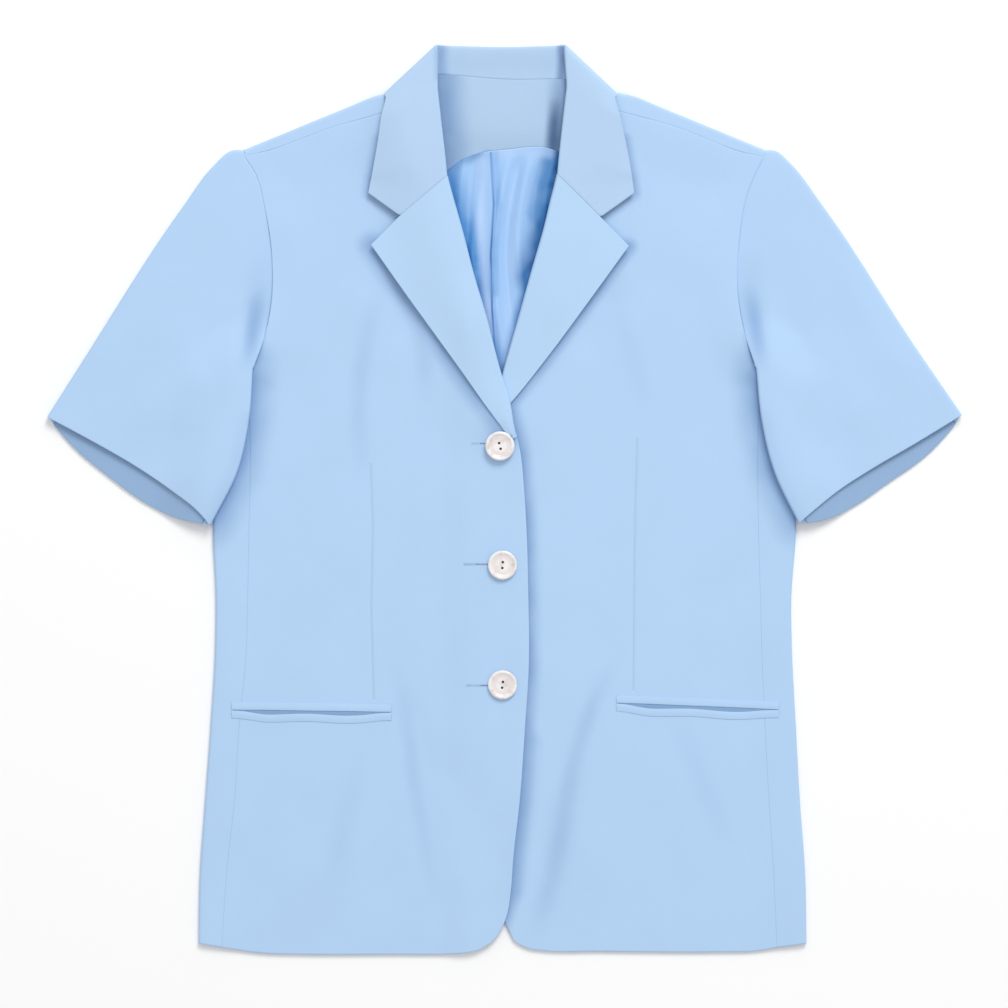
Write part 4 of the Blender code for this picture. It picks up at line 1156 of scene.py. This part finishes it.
def make_pocket(side, look, mouth_shade_look):
    """Double welt pocket: two narrow lips, a little open in the middle, over a sheet in painted shade for the dark
    mouth.
    """
    for name, way in (("upper", 1), ("lower", -1)):
        rows = []
        for step in (0, 0.05, 0.15, 0.35, 0.6, 0.85, 0.95, 1):
            row = []
            for share in shares(60, 0.006):
                waver = 0.9 + 0.22 * math.cos(13.4 * share - 3.6 - 0.5 * side.sign)
                gape = (0.15 if way > 0 else 2.4) * smooth(share / 0.22) * smooth((1 - share) / 0.2) * waver
                away = way * (WELT_SPACE / 2 + gape + (WELT_HEIGHT - 0.5) * step)
                out, up = pocket_point(side, share, away)
                lip = 0.25 * math.sin(math.pi * min(1.0, step * 1.3)) - 0.12 * (step > 0.9)
                row.append((out, up, front_height(side, out, up) + WELT_RISE + lip))
            rows.append(row)
        shell(
            f"pocket_welt_{name}_{side.name}", [rows], side.sign, look,
            [f"welt_{name}_{side.name}"], wall=0.5,
        )
    # The mouth is a dark sheet: painted shade where the pocket opens
    rows = []
    for step in np.linspace(-1, 1, 5):
        row = []
        for share in np.linspace(0.015, 0.985, 40):
            out, up = pocket_point(side, share, step * 1.9 - 1.5)
            row.append((out, up, front_height(side, out, up) + WALL / 2 + 0.12))
        rows.append(row)
    shell(f"pocket_mouth_{side.name}", [rows], side.sign, mouth_shade_look, wall=0.15, levels=0)


def revolve(build, profile, centre, sides):
    """Adds a turned form about a vertical line to a mesh that is being built."""
    rings = []
    for far, high in profile:
        ring = []
        for step in range(sides if far else 1):
            angle = 2 * math.pi * step / sides
            ring.append(build.verts.new((
                centre[0] + far * math.cos(angle) * MM, centre[1] + far * math.sin(angle) * MM,
                centre[2] + high * MM,
            )))
        rings.append(ring)
    for inner, outer in zip(rings, rings[1:]):
        for step in range(sides):
            beside = (step + 1) % sides
            corners = [inner[step % len(inner)], inner[beside % len(inner)]]
            corners += [outer[beside % len(outer)], outer[step % len(outer)]]
            build.faces.new(list(dict.fromkeys(corners)))
    return rings


def make_button(number, look, thread_look):
    """A turned shell button with a raised rim, a shallow dish and two sewing holes."""
    sizes = bpy.context.scene.blazer_buttons
    low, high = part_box(f"button_{number}")
    low.z, high.z = low.z + SHANK, high.z + SHANK
    centre = (low + high) / 2
    radius, thick = (high.x - low.x) / 2 / MM, (high.z - low.z) / MM
    profile = [
        (0.0, 0.0), (radius * 0.7, 0.0), (radius * 0.85, 0.05 * thick), (radius * 0.95, 0.22 * thick),
        (radius * 0.99, 0.45 * thick), (radius, 0.62 * thick), (radius * 0.985, 0.8 * thick),
        (radius * 0.95, 0.93 * thick), (radius * 0.9, thick), (radius * 0.84, 0.99 * thick),
        (radius * 0.78, 0.9 * thick), (radius * 0.73, 0.76 * thick), (radius * 0.68, 0.66 * thick),
        (radius * 0.6, 0.62 * thick), (radius * 0.4, 0.6 * thick), (0.0, 0.59 * thick),
    ]
    build = bmesh.new()
    revolve(build, profile, (centre.x, centre.y, low.z), 96)
    bmesh.ops.recalc_face_normals(build, faces=build.faces)
    mesh = bpy.data.meshes.new("button")
    build.to_mesh(mesh)
    build.free()
    button = bpy.data.objects.new(f"shell_button_{number}", mesh)
    bpy.context.collection.objects.link(button)
    button.data.materials.append(look)
    tilt = math.radians(HOLE_TILTS[number - 1])
    step = Vector((math.sin(tilt), math.cos(tilt), 0)) * sizes.hole_spacing / 2
    for way in (-1, 1):
        drill = bpy.data.meshes.new("sewing_hole")
        hole = bmesh.new()
        bmesh.ops.create_cone(
            hole, cap_ends=True, segments=24, radius1=sizes.hole_radius, radius2=sizes.hole_radius,
            depth=4 * thick * MM,
        )
        bmesh.ops.translate(hole, verts=hole.verts, vec=Vector((centre.x, centre.y, centre.z)) + way * step)
        hole.to_mesh(drill)
        hole.free()
        cutter = bpy.data.objects.new(f"sewing_hole_{number}_{way}", drill)
        bpy.context.collection.objects.link(cutter)
        cut = button.modifiers.new("sewing hole", "BOOLEAN")
        cut.operation = "DIFFERENCE"
        cut.object = cutter
        apply_modifier(button, cut)
        bpy.data.objects.remove(cutter)
    button.data.shade_smooth()
    edges = button.modifiers.new("rounded", "EDGE_SPLIT")
    edges.split_angle = math.radians(50)
    dress(button, [f"button_{number}"])
    wound = bmesh.new()
    foot = Vector((centre.x, centre.y, low.z - 2.4 * MM))
    for turn in range(60):
        around = [turn * 1.9 + share * 0.9 for share in range(3)]
        rise = 2.6 * MM * turn / 60
        path = [foot + Vector((math.cos(a) * 2.7 * MM, math.sin(a) * 2.7 * MM, rise)) for a in around]
        tube(wound, path, 0.28 * MM, sides=5)
    bmesh.ops.create_cone(
        wound, cap_ends=True, segments=24, radius1=2.7 * MM, radius2=2.9 * MM, depth=2.5 * MM,
        matrix=Matrix.Translation(foot + Vector((0, 0, 1.3 * MM))),
    )
    finish_mesh(wound, f"button_shank_{number}", thread_look)


def apply_modifier(obj, modifier):
    bpy.context.view_layer.objects.active = obj
    obj.select_set(True)
    bpy.ops.object.modifier_apply(modifier=modifier.name)
    obj.select_set(False)


def tube(build, path, radius, sides=8):
    """Adds a round thread along a path to a mesh that is being built."""
    rings = []
    for place, spot in enumerate(path):
        ahead = (path[min(place + 1, len(path) - 1)] - path[max(place - 1, 0)]).normalized()
        aside = ahead.cross(Vector((0, 0, 1)))
        aside = aside.normalized() if aside.length > 1e-6 else Vector((1, 0, 0))
        over = aside.cross(ahead).normalized()
        ring = []
        for step in range(sides):
            angle = 2 * math.pi * step / sides
            ring.append(build.verts.new(spot + (aside * math.cos(angle) + over * math.sin(angle)) * radius))
        rings.append(ring)
    for first, second in zip(rings, rings[1:]):
        for step in range(sides):
            beside = (step + 1) % sides
            build.faces.new((first[step], first[beside], second[beside], second[step]))
    build.faces.new(rings[0][::-1])
    build.faces.new(rings[-1])


def finish_mesh(build, name, look):
    bmesh.ops.recalc_face_normals(build, faces=build.faces)
    mesh = bpy.data.meshes.new(name)
    build.to_mesh(mesh)
    build.free()
    mesh.shade_smooth()
    obj = bpy.data.objects.new(name, mesh)
    bpy.context.collection.objects.link(obj)
    obj.data.materials.append(look)
    return dress(obj)


Slit = namedtuple("Slit", "start end dark up")
SLITS = [Slit(24.5, 3.0, 18.5, 386.5), Slit(30.5, 1.0, 22.0, 295.2), Slit(28.5, 1.0, 18.0, 203.6)]


def make_buttonhole(number, slit, look, slit_shade_look):
    """A worked buttonhole: two lips of close stitches along a slit."""
    build, dark = bmesh.new(), bmesh.new()

    def place(out, up, rise):
        z = front_height(OVER, out, up) + creases_at(OVER.creases, out, up) + WALL / 2 + rise
        return Vector((-out * MM, (up - LENGTH / 2) * MM, z * MM))

    count = int((slit.start - slit.end) / 0.42)
    for lip in (-1, 1):
        for step in range(count):
            out = slit.start - 0.42 * (step + 0.5)
            wander = 0.05 * math.sin(7.3 * step + number)
            path = [
                place(out, slit.up + lip * (away + wander), rise)
                for away, rise in ((0.04, -0.1), (0.15, 0.0), (0.5, 0.03), (0.85, -0.02), (1.0, -0.15))
            ]
            tube(build, path, 0.17 * MM, sides=6)
    bar = [place(slit.start + 0.1, slit.up + away, 0.1) for away in (-1.0, -0.5, 0, 0.5, 1.0)]
    tube(build, bar, 0.2 * MM, sides=6)
    # The slit is a dark thread: painted shade where the cut opens over the cloth beneath
    opening = [place(slit.dark - (slit.dark - slit.end) * share / 12, slit.up, 0.0) for share in range(13)]
    tube(dark, opening, 0.26 * MM, sides=6)
    finish_mesh(build, f"buttonhole_stitches_{number}", look)
    finish_mesh(dark, f"buttonhole_slit_{number}", slit_shade_look)


# Panel, properties and operators ---------------------------------------------------------------------


class BlazerCloth(bpy.types.PropertyGroup):
    """Colours and weave of the blazer's cloth and lining."""

    cloth_colour: bpy.props.FloatVectorProperty(
        name="Cloth colour", description="Colour of the pressed suiting", subtype="COLOR", size=3,
        min=0, max=1, default=(0.447, 0.634, 0.88),
    )
    facing_colour: bpy.props.FloatVectorProperty(
        name="Facing colour", description="Colour of the facing inside the neck", subtype="COLOR",
        size=3, min=0, max=1, default=(0.42, 0.585, 0.79),
    )
    turned_colour: bpy.props.FloatVectorProperty(
        name="Collar colour", description="Colour of the collar, a little greyer",
        subtype="COLOR", size=3, min=0, max=1, default=(0.45, 0.62, 0.84),
    )
    # Painted light: the lapels are a paler copy of the cloth, for the light they catch
    lapel_lit_colour: bpy.props.FloatVectorProperty(
        name="Lapel colour", description="Colour of the lapels, which catch a little more light",
        subtype="COLOR", size=3, min=0, max=1, default=(0.463, 0.655, 0.892),
    )
    # The reverse of the cloth inside the cuffs, made darker with painted shade
    inside_shaded_colour: bpy.props.FloatVectorProperty(
        name="Inside colour", description="Reverse of the cloth inside the cuffs", subtype="COLOR",
        size=3, min=0, max=1, default=(0.29, 0.44, 0.66),
    )
    lining_colour: bpy.props.FloatVectorProperty(
        name="Lining colour", description="Colour of the satin lining", subtype="COLOR", size=3,
        min=0, max=1, default=(0.36, 0.58, 0.905),
    )
    weave_pitch: bpy.props.FloatProperty(
        name="Weave pitch", description="Distance from one thread to the next but one",
        default=0.0006, min=0.0002, max=0.003, precision=5, unit="LENGTH",
    )


class BlazerButtons(bpy.types.PropertyGroup):
    """Sizes and colours of the shell buttons."""

    hole_radius: bpy.props.FloatProperty(
        name="Hole radius", description="Radius of a sewing hole", default=0.001, min=0.0005,
        max=0.002, precision=5, unit="LENGTH",
    )
    hole_spacing: bpy.props.FloatProperty(
        name="Hole spacing", description="Distance between the two sewing holes", default=0.0044,
        min=0.003, max=0.008, precision=5, unit="LENGTH",
    )
    pearl: bpy.props.FloatVectorProperty(
        name="Pearl", description="Main colour of the shell", subtype="COLOR", size=3, min=0, max=1,
        default=(0.87, 0.85, 0.84),
    )
    pearl_pink: bpy.props.FloatVectorProperty(
        name="Pearl pink", description="Colour of the warm bands", subtype="COLOR", size=3, min=0,
        max=1, default=(0.78, 0.68, 0.66),
    )
    pearl_grey: bpy.props.FloatVectorProperty(
        name="Pearl grey", description="Colour of the dark clouds", subtype="COLOR", size=3, min=0,
        max=1, default=(0.6, 0.57, 0.56),
    )


class BlazerStage(bpy.types.PropertyGroup):
    """Camera and light."""

    view_width: bpy.props.FloatProperty(
        name="View width", description="Width of the view at the blazer", default=0.763, min=0.1,
        max=3, unit="LENGTH",
    )
    camera_height: bpy.props.FloatProperty(
        name="Camera height", description="Height of the camera over the table", default=4.0,
        min=1, max=10, unit="LENGTH",
    )
    key_power: bpy.props.FloatProperty(
        name="Key light", description="Power of the soft light past the collar, in watts",
        default=127.0, min=0, max=1000, unit="POWER",
    )
    fill_power: bpy.props.FloatProperty(
        name="Fill light", description="Power of the broad light overhead, in watts", default=10.0,
        min=0, max=1000, unit="POWER",
    )
    sky: bpy.props.FloatProperty(
        name="Sky", description="Strength of the even light all round", default=0.6, min=0, max=5,
        subtype="FACTOR",
    )


def sleeve_painted_shade(side):
    """Painted shade in the soft hollow of the sleeve beside the lower part of its seam, and along its lower edge.
    """
    hollow = [(side.sign * out, up) for out, up in [(184, 530), (185.5, 502), (194, 446)]]
    low_edge = [(side.sign * out, up) for out, up in side.sleeve_low[1:]]
    return [
        Tint(hollow, 15, 0.5, (0.68, 0.75, 0.84), 60), Tint(hollow[1:], 9, 0.85, (0.6, 0.68, 0.8), 34),
        Tint(low_edge, 12, 0.3, (0.75, 0.8, 0.87)),
    ]


def cloth_look(name, lines=(), shadings=()):
    known = bpy.data.materials.get(name)
    return known or suiting(name, list(bpy.context.scene.blazer_cloth.cloth_colour), lines, shadings)


def body_painted_shade(side):
    """Soft shade on the body beside the sleeve, the lapel and the front edge that lie over it."""
    def signed(points, sign=side.sign):
        return [(sign * out, up) for out, up in points]

    lapel = side.lapel_edge[:5] if side is OVER else side.lapel_edge
    shadings = [
        Tint(signed([(191, 447), *side.sleeve_low[1:]]), 25, 0.7, OVERLAP_SHADE),
        Tint(signed([(187, 468), (191, 447), *side.sleeve_low[1:]]), 9, 0.85, OVERLAP_SHADE),
        Tint(signed(lapel), 15 if side is OVER else 10, 0.75, OVERLAP_SHADE),
        Tint(signed([side.collar[2].outer, side.collar[0].outer, NOTCH[side.name]]), 8, 0.55, OVERLAP_SHADE),
    ]
    shadings += [Tint(signed(fold), width, share, FOLD_SHADE, fade) for fold, width, share, fade in FOLD_SHADE_BANDS[side.name]]
    if side is UNDER:
        edge = [(6, 13), (-5, 50), (-11.5, 116), (-18.5, 220), (-17, 315), (-12, 380), (-5, 408)]
        shadings.append(Tint(signed(edge, OVER.sign), 12, 0.75, OVERLAP_SHADE))
        # Painted shade of a soft fold on the lower front, beside the front edge
        shadings.append(Tint([(3, 50), (9, 105), (16, 160)], 17, 0.6, (0.58, 0.66, 0.78)))
    return shadings


def dart_line(side):
    return [(side.sign * out * MM, (up - LENGTH / 2) * MM) for out, up in side.dart]


class BLAZER_OT_back(bpy.types.Operator):
    """Make the back panel, with its shoulders turned to the front"""

    bl_idname = "blazer.back"
    bl_label = "Back panel"

    def execute(self, context):
        make_back(cloth_look("suiting_plain"))
        return {"FINISHED"}


class BLAZER_OT_sides(bpy.types.Operator):
    """Make the two side panels"""

    bl_idname = "blazer.sides"
    bl_label = "Side panels"

    def execute(self, context):
        for side in SIDES:
            make_side(side, cloth_look("suiting_side_" + side.name, (), body_painted_shade(side)[:2]))
        return {"FINISHED"}


class BLAZER_OT_fronts(bpy.types.Operator):
    """Make the two fronts, with their darts"""

    bl_idname = "blazer.fronts"
    bl_label = "Fronts"

    def execute(self, context):
        for side in SIDES:
            make_front(side, cloth_look("suiting_front_" + side.name, [dart_line(side)], body_painted_shade(side)))
        return {"FINISHED"}


class BLAZER_OT_lapels(bpy.types.Operator):
    """Make the two turned lapels"""

    bl_idname = "blazer.lapels"
    bl_label = "Lapels"

    def execute(self, context):
        # The lapels take the paler copy of the cloth: painted light
        turned = suiting("suiting_lapel", list(context.scene.blazer_cloth.lapel_lit_colour))
        for side in SIDES:
            make_lapel(side, turned)
        return {"FINISHED"}


class BLAZER_OT_neck(bpy.types.Operator):
    """Make the collar, the back neck facing and the satin lining"""

    bl_idname = "blazer.neck"
    bl_label = "Collar, facing and lining"

    def execute(self, context):
        colour = list(context.scene.blazer_cloth.facing_colour)
        make_collar(suiting("suiting_collar", list(context.scene.blazer_cloth.turned_colour), (), COLLAR_SHADE))
        make_facing(suiting("suiting_facing", colour, (), FACING_SHADE))
        make_lining(satin())
        return {"FINISHED"}


class BLAZER_OT_sleeves(bpy.types.Operator):
    """Make the two short sleeves and the turnings inside their cuffs"""

    bl_idname = "blazer.sleeves"
    bl_label = "Sleeves"

    def execute(self, context):
        # The inside of the cuffs: the cloth's reverse with painted shade
        inside = suiting("suiting_inside", list(context.scene.blazer_cloth.inside_shaded_colour))
        for side in SIDES:
            make_sleeve(side, cloth_look("suiting_sleeve_" + side.name, (), sleeve_painted_shade(side)), inside)
        return {"FINISHED"}


class BLAZER_OT_pockets(bpy.types.Operator):
    """Make the two double welt pockets"""

    bl_idname = "blazer.pockets"
    bl_label = "Pockets"

    def execute(self, context):
        # The mouth's dark colour is painted shade inside the pocket
        mouth = suiting("suiting_mouth", [0.23, 0.38, 0.6])
        for side in SIDES:
            make_pocket(side, cloth_look("suiting_plain"), mouth)
        return {"FINISHED"}


class BLAZER_OT_buttons(bpy.types.Operator):
    """Make the shell buttons, their thread and the buttonholes"""

    bl_idname = "blazer.buttons"
    bl_label = "Buttons and buttonholes"

    def execute(self, context):
        shank = thread("thread_shank", (0.16, 0.13, 0.13))
        blue = thread("thread_blue", (0.5, 0.68, 0.92))
        dark = thread("thread_shadow", (0.1, 0.15, 0.24))
        for number in (1, 2, 3):
            out, up = BUTTONS[number - 1]
            make_button(number, pearl(number, (out * MM, (up - LENGTH / 2) * MM)), shank)
            make_buttonhole(number, SLITS[number - 1], blue, dark)
        return {"FINISHED"}


class BLAZER_OT_stage(bpy.types.Operator):
    """Make the pale table, the soft lights and the camera straight above"""

    bl_idname = "blazer.stage"
    bl_label = "Table, light and camera"

    def execute(self, context):
        stage = context.scene.blazer_stage
        white = Finish("table_white", Base_Color=(0.98, 0.98, 0.98, 1.0), Roughness=0.9)
        mesh = bpy.data.meshes.new("table")
        half = 6.0
        corners = [(-half, -half, 0), (half, -half, 0), (half, half, 0), (-half, half, 0)]
        mesh.from_pydata(corners, [], [(0, 1, 2, 3)])
        table = bpy.data.objects.new("table", mesh)
        context.collection.objects.link(table)
        mesh.materials.append(white.material)
        self.light("key", (1.1, 3.4, 3.5), 2.4, stage.key_power)
        self.light("fill", (0.0, 0.0, 2.8), 3.2, stage.fill_power)
        world = bpy.data.worlds.new("studio")
        world.use_nodes = True
        world.node_tree.nodes["Background"].inputs["Color"].default_value = (1, 1, 1, 1)
        world.node_tree.nodes["Background"].inputs["Strength"].default_value = stage.sky
        context.scene.world = world
        camera = bpy.data.cameras.new("camera")
        camera.lens = camera.sensor_width * stage.camera_height / stage.view_width
        camera.clip_end = 100
        eye = bpy.data.objects.new("camera", camera)
        eye.location = (-0.0004, -0.0032, stage.camera_height)
        context.collection.objects.link(eye)
        context.scene.camera = eye
        context.scene.view_settings.view_transform = "Standard"
        return {"FINISHED"}

    def light(self, name, place, size, power):
        lamp = bpy.data.lights.new(name, "AREA")
        lamp.shape, lamp.size, lamp.energy = "DISK", size, power
        obj = bpy.data.objects.new(name, lamp)
        obj.location = place
        obj.rotation_euler = (-Vector(place)).to_track_quat("-Z", "Y").to_euler()
        obj.visible_camera = False
        bpy.context.collection.objects.link(obj)


OPERATORS = (
    BLAZER_OT_back, BLAZER_OT_sides, BLAZER_OT_fronts, BLAZER_OT_lapels, BLAZER_OT_neck,
    BLAZER_OT_sleeves, BLAZER_OT_pockets, BLAZER_OT_buttons, BLAZER_OT_stage,
)


class BLAZER_PT_pieces(bpy.types.Panel):
    """The blazer's pieces, in sewing order"""

    bl_idname = "BLAZER_PT_pieces"
    bl_label = "Blazer"
    bl_space_type = "VIEW_3D"
    bl_region_type = "UI"
    bl_category = "Blazer"

    def draw(self, context):
        for operator in OPERATORS:
            self.layout.operator(operator.bl_idname)
        for group in (context.scene.blazer_cloth, context.scene.blazer_buttons, context.scene.blazer_stage):
            for name in group.bl_rna.properties.keys():
                if name not in ("rna_type", "name"):
                    self.layout.prop(group, name)


GROUPS = {"blazer_cloth": BlazerCloth, "blazer_buttons": BlazerButtons, "blazer_stage": BlazerStage}


def register():
    for part in (*GROUPS.values(), *OPERATORS, BLAZER_PT_pieces):
        bpy.utils.register_class(part)
    for name, group in GROUPS.items():
        setattr(bpy.types.Scene, name, bpy.props.PointerProperty(type=group))


def unregister():
    for name in GROUPS:
        delattr(bpy.types.Scene, name)
    for part in (BLAZER_PT_pieces, *OPERATORS[::-1], *GROUPS.values()):
        bpy.utils.unregister_class(part)


def main():
    register()
    for operator in OPERATORS:
        group, name = operator.bl_idname.split(".")
        getattr(getattr(bpy.ops, group), name)()


if __name__ == "__main__":
    main()
